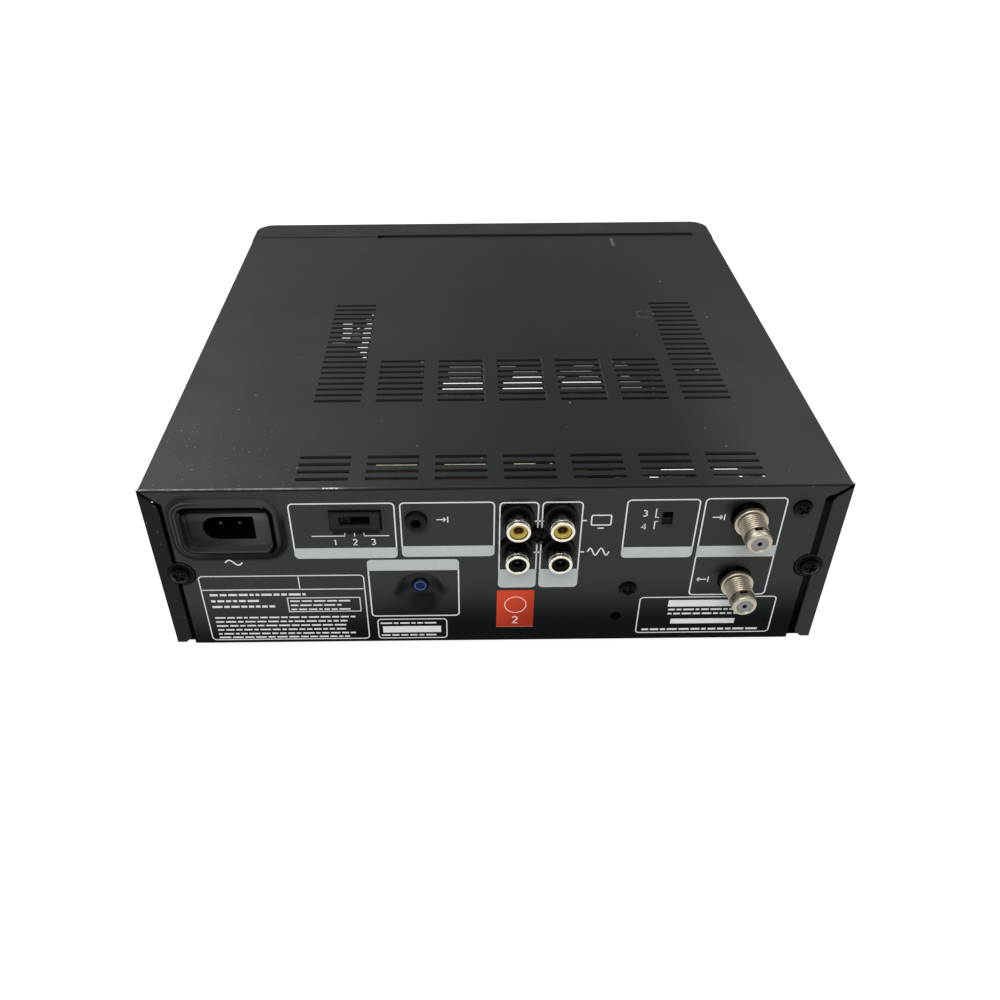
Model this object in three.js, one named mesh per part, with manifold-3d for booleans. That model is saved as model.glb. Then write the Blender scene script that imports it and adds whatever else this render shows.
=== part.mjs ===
// An eight-millimetre video cassette recorder: a steel cover with louvres, a pressed rear panel with its
// sockets, a moulded front with a cassette flap and keys, and the tape mechanism and boards inside.
// Millimetres. Everything is drawn as seen from behind: x runs to the right, y runs forward from the rear
// face and z runs up from the floor. The outer group turns the machine so that its front faces -Y.
import * as THREE from "three";
import { mergeVertices } from "three/addons/utils/BufferGeometryUtils.js";
import Module from "manifold-3d";

const wasm = await Module();
wasm.setup();

// Driving sizes of the whole machine
const width = 252.4;
const bodyHeight = 76.3;
const coverDepth = 229.5;
const bezelDepth = 22.5;
const footHeight = 5;

// Clearances
const gap = 0.3;
const slack = 0.6;
const overrun = 2;

// Facets of round forms
const roundSides = 14;
const smallSides = 8;
const wheelSides = 24;
const cornerSteps = 1;
const sweepSteps = 3;

// Sheet and wall thicknesses
const coverSheet = 1;
const panelSheet = 1.2;
const panSheet = 1.2;
const mechSheet = 1.5;
const holderSheet = 0.8;
const bezelWall = 2.5;
const boardSheet = 1.6;

// Levels and planes that pieces share
const topZ = footHeight + bodyHeight;
const underCover = topZ - coverSheet;
const faceY = coverDepth + bezelDepth;
const wallBackY = faceY - bezelWall;
const halfWidth = width / 2;
const innerHalf = halfWidth - coverSheet - gap;
const half = (size) => size / 2;
const onPanel = (height) => footHeight + height;

const materials = {
  coverPaint: { color: 0x3b3b3a, roughness: 0.5, metalness: 0.3 },
  panelPaint: { color: 0x343635, roughness: 0.5, metalness: 0.3 },
  blackPlastic: { color: 0x1d1e1f, roughness: 0.55, metalness: 0 },
  bezelPlastic: { color: 0x2c2c2b, roughness: 0.5, metalness: 0 },
  keyPlastic: { color: 0x3a3a3a, roughness: 0.45, metalness: 0 },
  smokedWindow: { color: 0x14110f, roughness: 0.12, metalness: 0 },
  zincSteel: { color: 0xa6a8a8, roughness: 0.35, metalness: 0.9 },
  nickel: { color: 0xc9c4b4, roughness: 0.28, metalness: 1 },
  drumAlloy: { color: 0xc4c6c8, roughness: 0.22, metalness: 1 },
  blackScrew: { color: 0x161616, roughness: 0.4, metalness: 0.6 },
  rubber: { color: 0x181818, roughness: 0.9, metalness: 0 },
  whiteResin: { color: 0xd8d6cc, roughness: 0.5, metalness: 0 },
  boardGreen: { color: 0x2f5a3a, roughness: 0.6, metalness: 0 },
  boardTan: { color: 0x9a7442, roughness: 0.7, metalness: 0 },
  coil: { color: 0x8a8f92, roughness: 0.5, metalness: 0.6 },
  blueRing: { color: 0x2b4c9b, roughness: 0.45, metalness: 0 },
};

const machine = new THREE.Group();

function solid(geometry) {
  geometry.deleteAttribute("normal");
  geometry.deleteAttribute("uv");
  const merged = mergeVertices(geometry);
  const index = merged.index.array;
  const triVerts = [];
  for (let i = 0; i < index.length; i += 3) {
    const [a, b, c] = index.slice(i, i + 3);
    if (a !== b && b !== c && c !== a) triVerts.push(a, b, c);
  }
  const vertProperties = new Float32Array(merged.attributes.position.array);
  return new wasm.Manifold(
    new wasm.Mesh({ numProp: 3, vertProperties, triVerts: new Uint32Array(triVerts) }),
  );
}

function geometryOf(shape) {
  const { numProp, numVert, vertProperties, triVerts } = shape.getMesh();
  const positions = new Float32Array(numVert * 3);
  for (let i = 0; i < numVert; i += 1) {
    positions.set(vertProperties.subarray(i * numProp, i * numProp + 3), i * 3);
  }
  const geometry = new THREE.BufferGeometry();
  geometry.setAttribute("position", new THREE.BufferAttribute(positions, 3));
  geometry.setIndex(new THREE.BufferAttribute(new Uint32Array(triVerts), 1));
  geometry.computeVertexNormals();
  return geometry;
}

function piece(name, shape, material, parent = machine) {
  const mesh = new THREE.Mesh(geometryOf(shape), new THREE.MeshStandardMaterial(materials[material]));
  mesh.name = name;
  parent.add(mesh);
  return mesh;
}

const join = (shapes) => shapes.reduce((whole, next) => whole.add(next));
const cut = (shape, cutters) => (cutters.length ? shape.subtract(join(cutters)) : shape);

function box([x0, x1], [y0, y1], [z0, z1]) {
  const geometry = new THREE.BoxGeometry(x1 - x0, y1 - y0, z1 - z0);
  geometry.translate((x0 + x1) / 2, (y0 + y1) / 2, (z0 + z1) / 2);
  return solid(geometry);
}

const span = (centre, size) => [centre - half(size), centre + half(size)];

function rod(x, y, radius, [z0, z1], sides = smallSides) {
  const geometry = new THREE.CylinderGeometry(radius, radius, z1 - z0, sides);
  geometry.rotateX(Math.PI / 2);
  geometry.translate(x, y, (z0 + z1) / 2);
  return solid(geometry);
}

function plug(x, z, radius, [y0, y1], sides = smallSides) {
  const geometry = new THREE.CylinderGeometry(radius, radius, y1 - y0, sides);
  geometry.translate(x, (y0 + y1) / 2, z);
  return solid(geometry);
}

function pin([x0, x1], y, z, radius, sides = smallSides) {
  const geometry = new THREE.CylinderGeometry(radius, radius, x1 - x0, sides);
  geometry.rotateZ(Math.PI / 2);
  geometry.translate((x0 + x1) / 2, y, z);
  return solid(geometry);
}

function outline(points) {
  return new THREE.Shape(points.map(([x, y]) => new THREE.Vector2(x, y)));
}

function roundedRect(x, z, w, h, radius) {
  const shape = new THREE.Shape();
  const [left, right] = span(x, w);
  const [low, high] = span(z, h);
  shape.moveTo(left + radius, low);
  shape.absarc(right - radius, low + radius, radius, -Math.PI / 2, 0);
  shape.absarc(right - radius, high - radius, radius, 0, Math.PI / 2);
  shape.absarc(left + radius, high - radius, radius, Math.PI / 2, Math.PI);
  shape.absarc(left + radius, low + radius, radius, Math.PI, Math.PI * 1.5);
  return shape;
}

// A shape drawn in x and z, standing between two planes of y.
function upright(shape, [y0, y1], bevel = {}) {
  const settings = { depth: y1 - y0, bevelEnabled: false, curveSegments: cornerSteps, ...bevel };
  const geometry = new THREE.ExtrudeGeometry(shape, settings);
  geometry.rotateX(Math.PI / 2);
  geometry.translate(0, y1, 0);
  return solid(geometry);
}

// A shape drawn in x and y, lying between two levels of z.
function flat(shape, [z0, z1], bevel = {}) {
  const settings = { depth: z1 - z0, bevelEnabled: false, curveSegments: cornerSteps, ...bevel };
  const geometry = new THREE.ExtrudeGeometry(shape, settings);
  geometry.translate(0, 0, z0);
  return solid(geometry);
}

// A shape drawn in y and z, running between two places of x.
function sideways(shape, [x0, x1]) {
  const settings = { depth: x1 - x0, bevelEnabled: false, curveSegments: cornerSteps };
  const geometry = new THREE.ExtrudeGeometry(shape, settings);
  const turn = new THREE.Matrix4().makeBasis(
    new THREE.Vector3(0, 1, 0),
    new THREE.Vector3(0, 0, 1),
    new THREE.Vector3(1, 0, 0),
  );
  geometry.applyMatrix4(turn);
  geometry.translate(x0, 0, 0);
  return solid(geometry);
}

// A profile of radius and height turned about the upright line at x, y.
function turned(x, y, profile, sides = roundSides) {
  const points = profile.map(([radius, height]) => new THREE.Vector2(radius, height));
  const geometry = new THREE.LatheGeometry(points, sides);
  geometry.rotateX(Math.PI / 2);
  geometry.translate(x, y, 0);
  return solid(geometry);
}

// The same, turned about a line along y that passes x, z; the profile's second value is y.
function turnedAlongY(x, z, profile, sides = roundSides) {
  const points = profile.map(([radius, along]) => new THREE.Vector2(radius, along));
  const geometry = new THREE.LatheGeometry(points, sides);
  geometry.translate(x, 0, z);
  return solid(geometry);
}

// A solid that blends one rectangle in x and z into another, further along y.
function blended(nearX, nearZ, nearY, farX, farZ, farY) {
  const ring = ([x0, x1], [z0, z1], y) => [x0, y, z0, x1, y, z0, x1, y, z1, x0, y, z1];
  const positions = [...ring(nearX, nearZ, nearY), ...ring(farX, farZ, farY)];
  const faces = [0, 1, 2, 0, 2, 3, 4, 6, 5, 4, 7, 6];
  for (let i = 0; i < 4; i += 1) {
    const next = (i + 1) % 4;
    faces.push(i, next + 4, next, i, i + 4, next + 4);
  }
  const geometry = new THREE.BufferGeometry();
  geometry.setAttribute("position", new THREE.Float32BufferAttribute(positions, 3));
  geometry.setIndex(faces);
  return solid(geometry);
}

const bothSides = (make) => [-1, 1].map(make);

// Cover: a bent steel sheet with a flange folded in at each rear edge
const coverBend = 1.8;
const coverHem = 0.6;
const rearFlange = 6;
const rearGroove = { left: 1.1, right: 3 };
const mitreDrop = 1.6;
const flangeChamfer = 2.5;
const lobe = { radius: 5.2, inset: 8, heights: [36.9, 38.1], clearance: 0.9 };
const lobePlaces = bothSides((side) => [
  side * (halfWidth - lobe.inset),
  onPanel(lobe.heights[half(side + 1)]),
]);
const louvre = {
  length: 18.8,
  width: 1.9,
  columns: 7,
  pitch: 24.71,
  middle: 12.5,
  longRows: 20,
  shortRows: 8,
  rowPitch: 4.57,
  fieldStart: 58.7,
  rearRows: 4,
  rearPitch: 4.53,
  rearStart: 5.4,
};

function louvreRow(x, start, pitch, rows) {
  return Array.from({ length: rows }, (_, row) =>
    box(
      span(x, louvre.length),
      span(start + row * pitch, louvre.width),
      [underCover - overrun, topZ + overrun],
    ),
  );
}

function coverShape() {
  const low = footHeight + coverHem;
  const inner = coverBend - coverSheet;
  const profile = new THREE.Shape();
  profile.moveTo(-halfWidth, low);
  profile.lineTo(-halfWidth + coverSheet, low);
  profile.absarc(-halfWidth + coverBend, topZ - coverBend, inner, Math.PI, Math.PI / 2, true);
  profile.absarc(halfWidth - coverBend, topZ - coverBend, inner, Math.PI / 2, 0, true);
  profile.lineTo(halfWidth - coverSheet, low);
  profile.lineTo(halfWidth, low);
  profile.absarc(halfWidth - coverBend, topZ - coverBend, coverBend, 0, Math.PI / 2);
  profile.absarc(-halfWidth + coverBend, topZ - coverBend, coverBend, Math.PI / 2, Math.PI);
  const bent = upright(profile, [0, coverDepth]);
  const flanges = bothSides((side) => {
    const inside = halfWidth - rearFlange;
    const edge = halfWidth - half(coverSheet);
    const points = [
      [edge, low],
      [edge, topZ - mitreDrop - half(coverSheet)],
      [inside, topZ - mitreDrop - rearFlange],
      [inside, low + flangeChamfer],
      [inside + flangeChamfer, low],
    ].map(([x, z]) => [side * x, z]);
    return upright(outline(side > 0 ? points : points.reverse()), [0, coverSheet]);
  });
  const lobes = lobePlaces.map(([x, z]) => plug(x, z, lobe.radius, [0, coverSheet], roundSides));
  // The sides give way above the mitre, where the panel's ears reach the corner.
  const earRooms = bothSides((side) => {
    const inside = innerHalf - gap;
    const points = [
      [halfWidth + mitreDrop - coverSheet, underCover],
      [inside, underCover],
      [inside, inside - halfWidth + topZ - mitreDrop],
    ].map(([x, z]) => [side * x, z]);
    return upright(outline(side > 0 ? points : points.reverse()), [-overrun, panelDepth + gap]);
  });
  const slots = [];
  for (let column = 0; column < louvre.columns; column += 1) {
    const x = louvre.middle + (column - half(louvre.columns - 1)) * louvre.pitch;
    const atSide = column === 0 || column === louvre.columns - 1;
    const rows = atSide ? louvre.longRows : louvre.shortRows;
    slots.push(...louvreRow(x, louvre.rearStart, louvre.rearPitch, louvre.rearRows));
    slots.push(...louvreRow(x, louvre.fieldStart, louvre.rowPitch, rows));
  }
  return cut(join([bent, ...flanges, ...lobes]), [...slots, ...earRooms, ...coverScrewHoles()]);
}

// Fasteners: a domed head and a shank
const screw = { crown: 1.75, dome: 3, head: 3.5, headHeight: 2, domeHeight: 1, shank: 1.4, reach: 6 };
const screwHole = screw.shank + gap;

function coverScrewHoles() {
  return lobePlaces.map(([x, z]) => plug(x, z, screwHole, [-overrun, screw.reach + overrun]));
}

function screwRooms() {
  return panelScrews.map(([, x, z]) => plug(x, z, screwHole, [-overrun, screw.reach + overrun]));
}

function screwShape(x, z) {
  const profile = [
    [0, -gap - screw.headHeight],
    [screw.crown, -gap - screw.headHeight],
    [screw.dome, -gap - screw.domeHeight],
    [screw.head, -gap],
    [screw.shank, -gap],
    [screw.shank, screw.reach],
    [0, screw.reach],
  ];
  return turnedAlongY(x, z, profile, smallSides);
}

// Rear panel: a pressed plate whose face stands proud of the wings behind the cover's flanges
const panelDepth = coverSheet + gap + panelSheet;
const faceEdges = [rearGroove.left, rearGroove.right].map((groove) => halfWidth - rearFlange - groove);
const wingHalf = innerHalf;
const earHeight = 70;
const earStart = onPanel(earHeight);
const inlet = {
  x: -97.2,
  height: 58.8,
  openWidth: 31.6,
  openHeight: 19.1,
  openCorner: 3.5,
  rimWidth: 3.6,
  rimProud: 1.8,
  rimRound: 1.2,
  recess: 2.5,
  depth: 21.5,
  shoulder: 3,
  flange: 2,
  inset: 1.2,
  socketWidth: 19,
  socketHeight: 10.6,
  socketDepth: 15,
  socketDrop: 2,
  socketCorner: 0.8,
  pinPitch: 7.1,
  pinRadius: 1.2,
  pinTip: 3,
};
const modeSwitch = {
  x: -50.4,
  height: 62,
  baseWidth: 19,
  baseHeight: 9.6,
  faceWidth: 17.4,
  faceHeight: 5.8,
  faceRise: 1.6,
  proud: 2.2,
  neckWidth: 15,
  neckHeight: 6.4,
  slotWidth: 10.9,
  slotHeight: 4.2,
  slotDepth: 5.2,
  travel: 6.9,
  knobHeight: 3.6,
  grooveDepth: 0.6,
};
const controlS = { x: -28.6, height: 61.8, sleeve: 3.9, proud: 2.6, bore: 1.85, boreDepth: 14, body: 9.6 };
const dish = { x: -28.5, height: 26.6, mouth: 9.8, floor: 7.2, depth: 4.5 };
const controlL = { neck: 3.1, ring: 3.6, proud: 0.9, bore: 1.35, boreDepth: 12, body: 9 };
const phono = {
  x: 15.1,
  height: 55.6,
  pitchX: 15.4,
  pitchZ: 15,
  boss: 6.2,
  bossProud: 1.2,
  shell: 4.15,
  shellWall: 0.8,
  reach: 10,
  core: 3.0,
  coreDrop: 0.6,
  bore: 1.7,
  boreDepth: 14,
};
const tuner = { x: 74, width: 60, rear: 1.5, depth: 32.5, low: 18, high: 76, wall: 0.8 };
const coax = {
  x: 91,
  heights: [62, 31.7],
  flange: 6.2,
  flangeReach: 2.4,
  barrel: 4.76,
  reach: 16.3,
  chamfer: 1,
  faceRadius: 3.3,
  faceDepth: 0.4,
  bore: 0.8,
  boreDepth: 7,
};
const channelSwitch = {
  x: 62,
  up: 61.1,
  width: 4,
  height: 6.3,
  knob: 3,
  drop: 0.9,
  heel: 8,
  heelGrow: 0.6,
};
const clockHole = { x: 47, height: 12.6, radius: 1.6 };
const screwPlaces = {
  panel_screw_right: { x: 109.8, height: 65.9 },
  panel_screw_low: { x: 50.6, height: 28.2 },
  socket_screw: { x: phono.x, height: 57.4 },
};
const inletZ = onPanel(inlet.height);
const modeZ = onPanel(modeSwitch.height);
const controlSZ = onPanel(controlS.height);
const dishZ = onPanel(dish.height);
const phonoZ = onPanel(phono.height);
const coaxZ = coax.heights.map(onPanel);
const channelZ = onPanel(channelSwitch.up);
const panelScrews = Object.entries(screwPlaces).map(([name, place]) => [
  name,
  place.x,
  onPanel(place.height),
]);
const phonoPlaces = bothSides((i) =>
  bothSides((k) => [phono.x + half(i * phono.pitchX), phonoZ + half(k * phono.pitchZ)]),
).flat();

function raisedOutline(inset, lobeRoom) {
  const top = underCover - gap - inset;
  const shelf = earStart + inset;
  const mitre = topZ - mitreDrop + slack + inset - halfWidth;
  const [left, right] = faceEdges.map((edge) => [
    [edge - inset, footHeight + inset],
    [edge - inset, shelf],
    [shelf - mitre, shelf],
    [top - mitre, top],
  ]);
  const shape = outline([...right, ...left.map(([x, z]) => [-x, z]).reverse()]);
  const rooms = lobePlaces.map(([x, z]) =>
    plug(x, z, lobe.radius + lobeRoom, [-overrun, panelDepth + overrun], roundSides),
  );
  return { shape, rooms };
}

function panelShape() {
  const outer = raisedOutline(0, lobe.clearance);
  const inner = raisedOutline(panelSheet, lobe.clearance + panelSheet);
  const raised = cut(upright(outer.shape, [0, panelDepth]), outer.rooms);
  const hollow = cut(upright(inner.shape, [panelSheet, panelDepth + overrun]), inner.rooms);
  const wingY = [panelDepth - panelSheet, panelDepth];
  const wings = bothSides((side, i) =>
    box(
      side > 0 ? [faceEdges[i] - panelSheet, wingHalf] : [-wingHalf, panelSheet - faceEdges[i]],
      wingY,
      [footHeight + coverHem, earStart - slack],
    ),
  );
  const lobeSeats = lobePlaces.map(([x, z]) => {
    const seat = lobe.radius + lobe.clearance + panelSheet;
    const disc = plug(x, z, seat, wingY, roundSides);
    return disc.intersect(box([-wingHalf, wingHalf], wingY, [footHeight, topZ]));
  });
  const rim = upright(
    roundedRect(
      inlet.x,
      inletZ,
      inlet.openWidth + 2 * (inlet.rimWidth - inlet.rimRound),
      inlet.openHeight + 2 * (inlet.rimWidth - inlet.rimRound),
      inlet.openCorner + inlet.rimWidth - inlet.rimRound,
    ),
    [inlet.rimRound - inlet.rimProud, panelSheet],
    { bevelEnabled: true, bevelSize: inlet.rimRound, bevelThickness: inlet.rimRound, bevelSegments: 2 },
  ).intersect(box([-halfWidth, halfWidth], [-inlet.rimProud, panelSheet], [0, topZ]));
  const dishWall = turnedAlongY(dish.x, dishZ, [
    [0, 0],
    [dish.mouth + panelSheet, 0],
    [dish.mouth + panelSheet, panelSheet],
    [dish.floor + panelSheet, dish.depth + panelSheet],
    [0, dish.depth + panelSheet],
  ]);
  const dishRoom = turnedAlongY(dish.x, dishZ, [
    [0, -overrun],
    [dish.mouth, -overrun],
    [dish.mouth, 0],
    [dish.floor, dish.depth],
    [0, dish.depth],
  ]);
  const through = [-overrun - inlet.rimProud, panelDepth + overrun];
  const openings = [
    upright(roundedRect(inlet.x, inletZ, inlet.openWidth, inlet.openHeight, inlet.openCorner), through),
    box(
      span(modeSwitch.x, modeSwitch.neckWidth + slack),
      through,
      span(modeZ, modeSwitch.neckHeight + slack),
    ),
    plug(controlS.x, controlSZ, controlS.sleeve + gap, through, roundSides),
    dishRoom,
    plug(dish.x, dishZ, controlL.neck + gap, [0, dish.depth + panelSheet + overrun], roundSides),
    ...phonoPlaces.map(([x, z]) => plug(x, z, phono.boss + gap, through, roundSides)),
    ...coaxZ.map((z) => plug(coax.x, z, coax.flange + gap, through, roundSides)),
    ...panelScrews.map(([, x, z]) => plug(x, z, screwHole, through)),
    box(span(channelSwitch.x, channelSwitch.width), through, span(channelZ, channelSwitch.height)),
    plug(clockHole.x, onPanel(clockHole.height), clockHole.radius, through),
    ...coverScrewHoles(),
  ];
  return cut(join([raised.subtract(hollow), ...wings, ...lobeSeats, rim, dishWall]), openings);
}

function inletShape() {
  const face = inlet.recess;
  const back = face + inlet.depth;
  const seat = panelSheet + gap;
  const plateAt = (grow, y) =>
    upright(
      roundedRect(
        inlet.x,
        inletZ,
        inlet.openWidth + 2 * grow,
        inlet.openHeight + 2 * grow,
        inlet.openCorner + grow,
      ),
      y,
    );
  const plate = plateAt(inlet.flange, [seat, seat + inlet.shoulder]).subtract(
    plateAt(-inlet.inset, [0, face]),
  );
  const body = box(
    span(inlet.x, inlet.openWidth - 2 * inlet.inset),
    [face, back],
    span(inletZ, inlet.openHeight - 2 * inlet.inset),
  );
  const socketZ = inletZ - inlet.socketDrop;
  const round = half(inlet.socketHeight);
  const corner = inlet.socketCorner;
  const [left, right] = span(inlet.x, inlet.socketWidth);
  const socket = new THREE.Shape();
  socket.moveTo(left + round, socketZ - round);
  socket.absarc(right - corner, socketZ - round + corner, corner, -Math.PI / 2, 0);
  socket.absarc(right - corner, socketZ + round - corner, corner, 0, Math.PI / 2);
  socket.absarc(left + round, socketZ, round, Math.PI / 2, Math.PI * 1.5);
  const hole = upright(socket, [face - overrun, face + inlet.socketDepth], { curveSegments: sweepSteps });
  const pins = bothSides((side) =>
    plug(
      inlet.x + side * half(inlet.pinPitch),
      socketZ,
      inlet.pinRadius,
      [face + inlet.pinTip, face + inlet.socketDepth + overrun],
    ),
  );
  return join([plate.add(body).subtract(hole), ...pins]);
}

// The board that carries the rear sockets stands behind them
const jackBoard = { left: -47, right: 35, y: 20, high: 75 };
const boardLow = 12;
const mainBoardTop = boardLow + boardSheet;
const jackBack = jackBoard.y - gap;

function modeSwitchShape() {
  const m = modeSwitch;
  const hood = blended(
    span(m.x, m.faceWidth),
    span(modeZ + m.faceRise, m.faceHeight),
    -m.proud - gap,
    span(m.x, m.baseWidth),
    span(modeZ, m.baseHeight),
    -gap,
  );
  const body = box(span(m.x, m.neckWidth), [-gap, jackBack], span(modeZ, m.neckHeight));
  const slot = box(
    span(m.x, m.slotWidth),
    [-m.proud - overrun, m.slotDepth - m.proud],
    span(modeZ + m.faceRise - gap, m.slotHeight),
  );
  return hood.add(body).subtract(slot);
}

function modeKnobShape() {
  const m = modeSwitch;
  const knobWidth = m.slotWidth - m.travel - gap;
  const x = m.x - half(m.slotWidth) + half(gap) + half(knobWidth);
  const z = modeZ + m.faceRise - gap;
  const outer = slack - m.proud;
  const inner = m.slotDepth - m.proud - gap;
  const knob = box(span(x, knobWidth), [outer, inner], span(z, m.knobHeight));
  const groove = box(
    span(x, half(knobWidth)),
    [outer - overrun, outer + m.grooveDepth],
    span(z, m.knobHeight + overrun),
  );
  return knob.subtract(groove);
}

function controlSShape() {
  const c = controlS;
  const sleeve = plug(c.x, controlSZ, c.sleeve, [-c.proud, panelSheet + gap], roundSides);
  const body = box(span(c.x, c.body), [panelSheet + gap, jackBack], span(controlSZ, c.body));
  const bore = plug(c.x, controlSZ, c.bore, [-c.proud - overrun, c.boreDepth], roundSides);
  return sleeve.add(body).subtract(bore);
}

function controlLShape() {
  const floor = dish.depth;
  const ring = plug(dish.x, dishZ, controlL.ring, [floor - controlL.proud - gap, floor - gap], roundSides);
  const neck = plug(dish.x, dishZ, controlL.neck, [floor - gap, jackBack], roundSides);
  const behind = floor + panelSheet + gap;
  const body = box(span(dish.x, controlL.body), [behind, jackBack], span(dishZ, controlL.body));
  const bore = plug(dish.x, dishZ, controlL.bore, [0, floor + controlL.boreDepth], roundSides);
  return join([ring, neck, body]).subtract(bore);
}

function phonoBlockShape() {
  const p = phono;
  const body = box(
    span(p.x, p.pitchX + 2 * p.boss),
    [panelSheet + gap, jackBack],
    span(phonoZ, p.pitchZ + 2 * p.boss),
  );
  const bossY = [-p.bossProud, panelSheet + overrun];
  const bosses = phonoPlaces.map(([x, z]) => plug(x, z, p.boss, bossY, roundSides));
  const cores = phonoPlaces.map(([x, z]) => plug(x, z, p.core, [p.coreDrop - p.reach, 0], roundSides));
  const bores = phonoPlaces.map(([x, z]) => plug(x, z, p.bore, [-p.reach, p.boreDepth - p.reach]));
  return cut(join([body, ...bosses, ...cores]), [...bores, ...screwRooms()]);
}

function phonoShellShape(x, z) {
  const p = phono;
  const inner = p.shell - p.shellWall;
  const base = -p.bossProud - gap;
  const profile = [
    [inner, base],
    [p.shell, base],
    [p.shell, half(gap) - p.reach],
    [p.shell - half(gap), -p.reach],
    [inner, -p.reach],
    [inner, base],
  ];
  return turnedAlongY(x, z, profile.reverse());
}

function tunerShape() {
  const t = tuner;
  const x = span(t.x, t.width);
  const y = [t.rear, t.rear + t.depth];
  const z = [t.low, t.high];
  const can = box(x, y, z);
  const inside = box(
    [x[0] + t.wall, x[1] - t.wall],
    [y[0] + t.wall, y[1] - t.wall],
    [z[0] - overrun, z[1] - t.wall],
  );
  const divider = box([x[0] + half(t.wall), x[1] - half(t.wall)], span(half(y[0] + y[1]), t.wall), z);
  const window = box(
    span(channelSwitch.x, channelSwitch.width),
    [y[0] - overrun, y[0] + t.wall + overrun],
    span(channelZ, channelSwitch.height),
  );
  return cut(can.subtract(inside).add(divider), [window, ...screwRooms()]);
}

function channelKnobShape() {
  const c = channelSwitch;
  const low = channelZ - half(c.height) + half(gap);
  const inside = tuner.rear + tuner.wall + gap;
  const cap = box(span(c.x, c.width - slack), [c.drop, inside + half(tuner.wall)], [low, low + c.knob]);
  const heel = box(
    span(c.x, c.heel),
    [inside, inside + tuner.wall],
    [low - c.heelGrow, low + c.knob + c.heelGrow],
  );
  return cap.add(heel);
}

function coaxShape(z) {
  const c = coax;
  const profile = [
    [0, panelSheet],
    [c.flange, panelSheet],
    [c.flange, -c.flangeReach],
    [c.barrel, -c.flangeReach - half(c.flangeReach)],
    [c.barrel, c.chamfer - c.reach],
    [c.barrel - c.chamfer, -c.reach],
    [c.faceRadius, -c.reach],
    [c.faceRadius, c.faceDepth - c.reach],
    [c.bore, c.faceDepth - c.reach],
    [c.bore, c.boreDepth - c.reach],
    [0, c.boreDepth - c.reach],
  ];
  return turnedAlongY(c.x, z, profile.reverse());
}

// Mechanism: a steel deck on four posts, centred under the middle column of louvres
const deck = {
  x: louvre.middle,
  rear: 101,
  front: 228,
  low: 30.4,
  halfWidth: 64,
  postInset: 8,
  postRadius: 4,
  earX: -75,
  earWidth: 30,
  earDepth: 24,
  earCorner: 8,
  flangeHalf: 48,
  flangeDrop: 8,
  holeY: 205.8,
  holeWidth: 19.6,
  holeDepth: 14,
  holeCorner: 1.2,
};
const deckTop = deck.low + mechSheet;
const deckSeat = deckTop + gap;
const deckX = (offset) => deck.x + offset;
const deckPosts = bothSides((side) =>
  [deck.rear + deck.postInset, deck.front - deck.postInset].map((y) => [
    deckX(side * (deck.halfWidth - deck.postInset)),
    y,
  ]),
).flat();
const drum = {
  y: 123,
  radius: 20,
  pivotZ: 40,
  tilt: THREE.MathUtils.degToRad(5),
  low: 5,
  split: 5,
  high: 14,
  edge: 0.6,
};
const drumHead = { width: 3.2, height: 2, depth: 1 };
const drumBase = { radius: 20.4, height: 5.5, spigot: 15.5, spigotLow: 22 };
const drumCap = { radius: 12, height: 3, hub: 4, hubHeight: 1.5 };
const reel = {
  x: 23,
  y: 182,
  flange: 14,
  flangeHeight: 2.7,
  seat: 7,
  seatHeight: 1.8,
  spindle: 2.4,
  top: 46,
  taper: 1.1,
  tip: 1.2,
};
const reelRib = { count: 3, reach: 3.5, width: 1.1, top: 43.8 };
const shaft = { radius: 1.5, below: 3 };
const capstan = { x: 33, y: 139, top: 52, flywheel: 17, flywheelLow: 20, flywheelHigh: 26, bush: 4 };
const pinch = {
  pivotX: 50,
  pivotY: 114,
  post: 2,
  hub: 4,
  armWidth: 6,
  armSheet: 2,
  hubHeight: 4,
  roller: 5.5,
  rollerLow: 38,
  rollerHigh: 49,
  pinRadius: 1.2,
  bore: 1.5,
  pressAngle: THREE.MathUtils.degToRad(-40),
  swing: THREE.MathUtils.degToRad(24),
};
const guide = {
  startX: 20,
  startY: 149,
  endX: 34,
  endY: 110,
  slot: 3.8,
  sled: 9,
  sledHeight: 2.6,
  keel: 3.2,
  keelLow: 29.1,
  slotSpare: 4,
  foot: 6,
  footLow: 28.6,
  roller: 3,
  rollerTop: 46,
  flange: 3.8,
  flangeHeight: 1,
  pole: 1,
  poleLean: THREE.MathUtils.degToRad(14),
  poleX: 3,
  poleY: 3.5,
  shelfWidth: 5,
  shelfDepth: 5.5,
};
const idler = {
  pivotY: 207,
  reach: 15,
  wheel: 8,
  wheelLow: 0.5,
  wheelHeight: 2.2,
  arm: 5,
  hub: 2.8,
  armSheet: 1,
  post: 1.5,
  postTop: 37,
};
const gear = {
  module: 0.96,
  teeth: 30,
  pinionTeeth: 10,
  height: 3,
  low: 26.6,
  y: 150,
  hub: 3,
  holes: 4,
  hole: 3,
};
const tooth = { addendum: 0.72, dedendum: 0.92, rootShare: 0.66, tipShare: 0.24 };
const motor = {
  x: -78,
  radius: 8,
  top: 60,
  edge: 0.6,
  bore: 1.3,
  boreTop: 40,
  shaft: 1,
  shaftTop: 39,
  shaftRoom: 2.2,
};
const pitchRadius = (teeth) => half(gear.module * teeth);
const motorX = deckX(motor.x);
const gearX = motorX + pitchRadius(gear.teeth) + pitchRadius(gear.pinionTeeth) + gap;

function pressedRoller() {
  const reach = shaft.radius + pinch.roller + gap;
  return [
    capstan.x + reach * Math.cos(pinch.pressAngle),
    capstan.y + reach * Math.sin(pinch.pressAngle),
  ];
}

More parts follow.
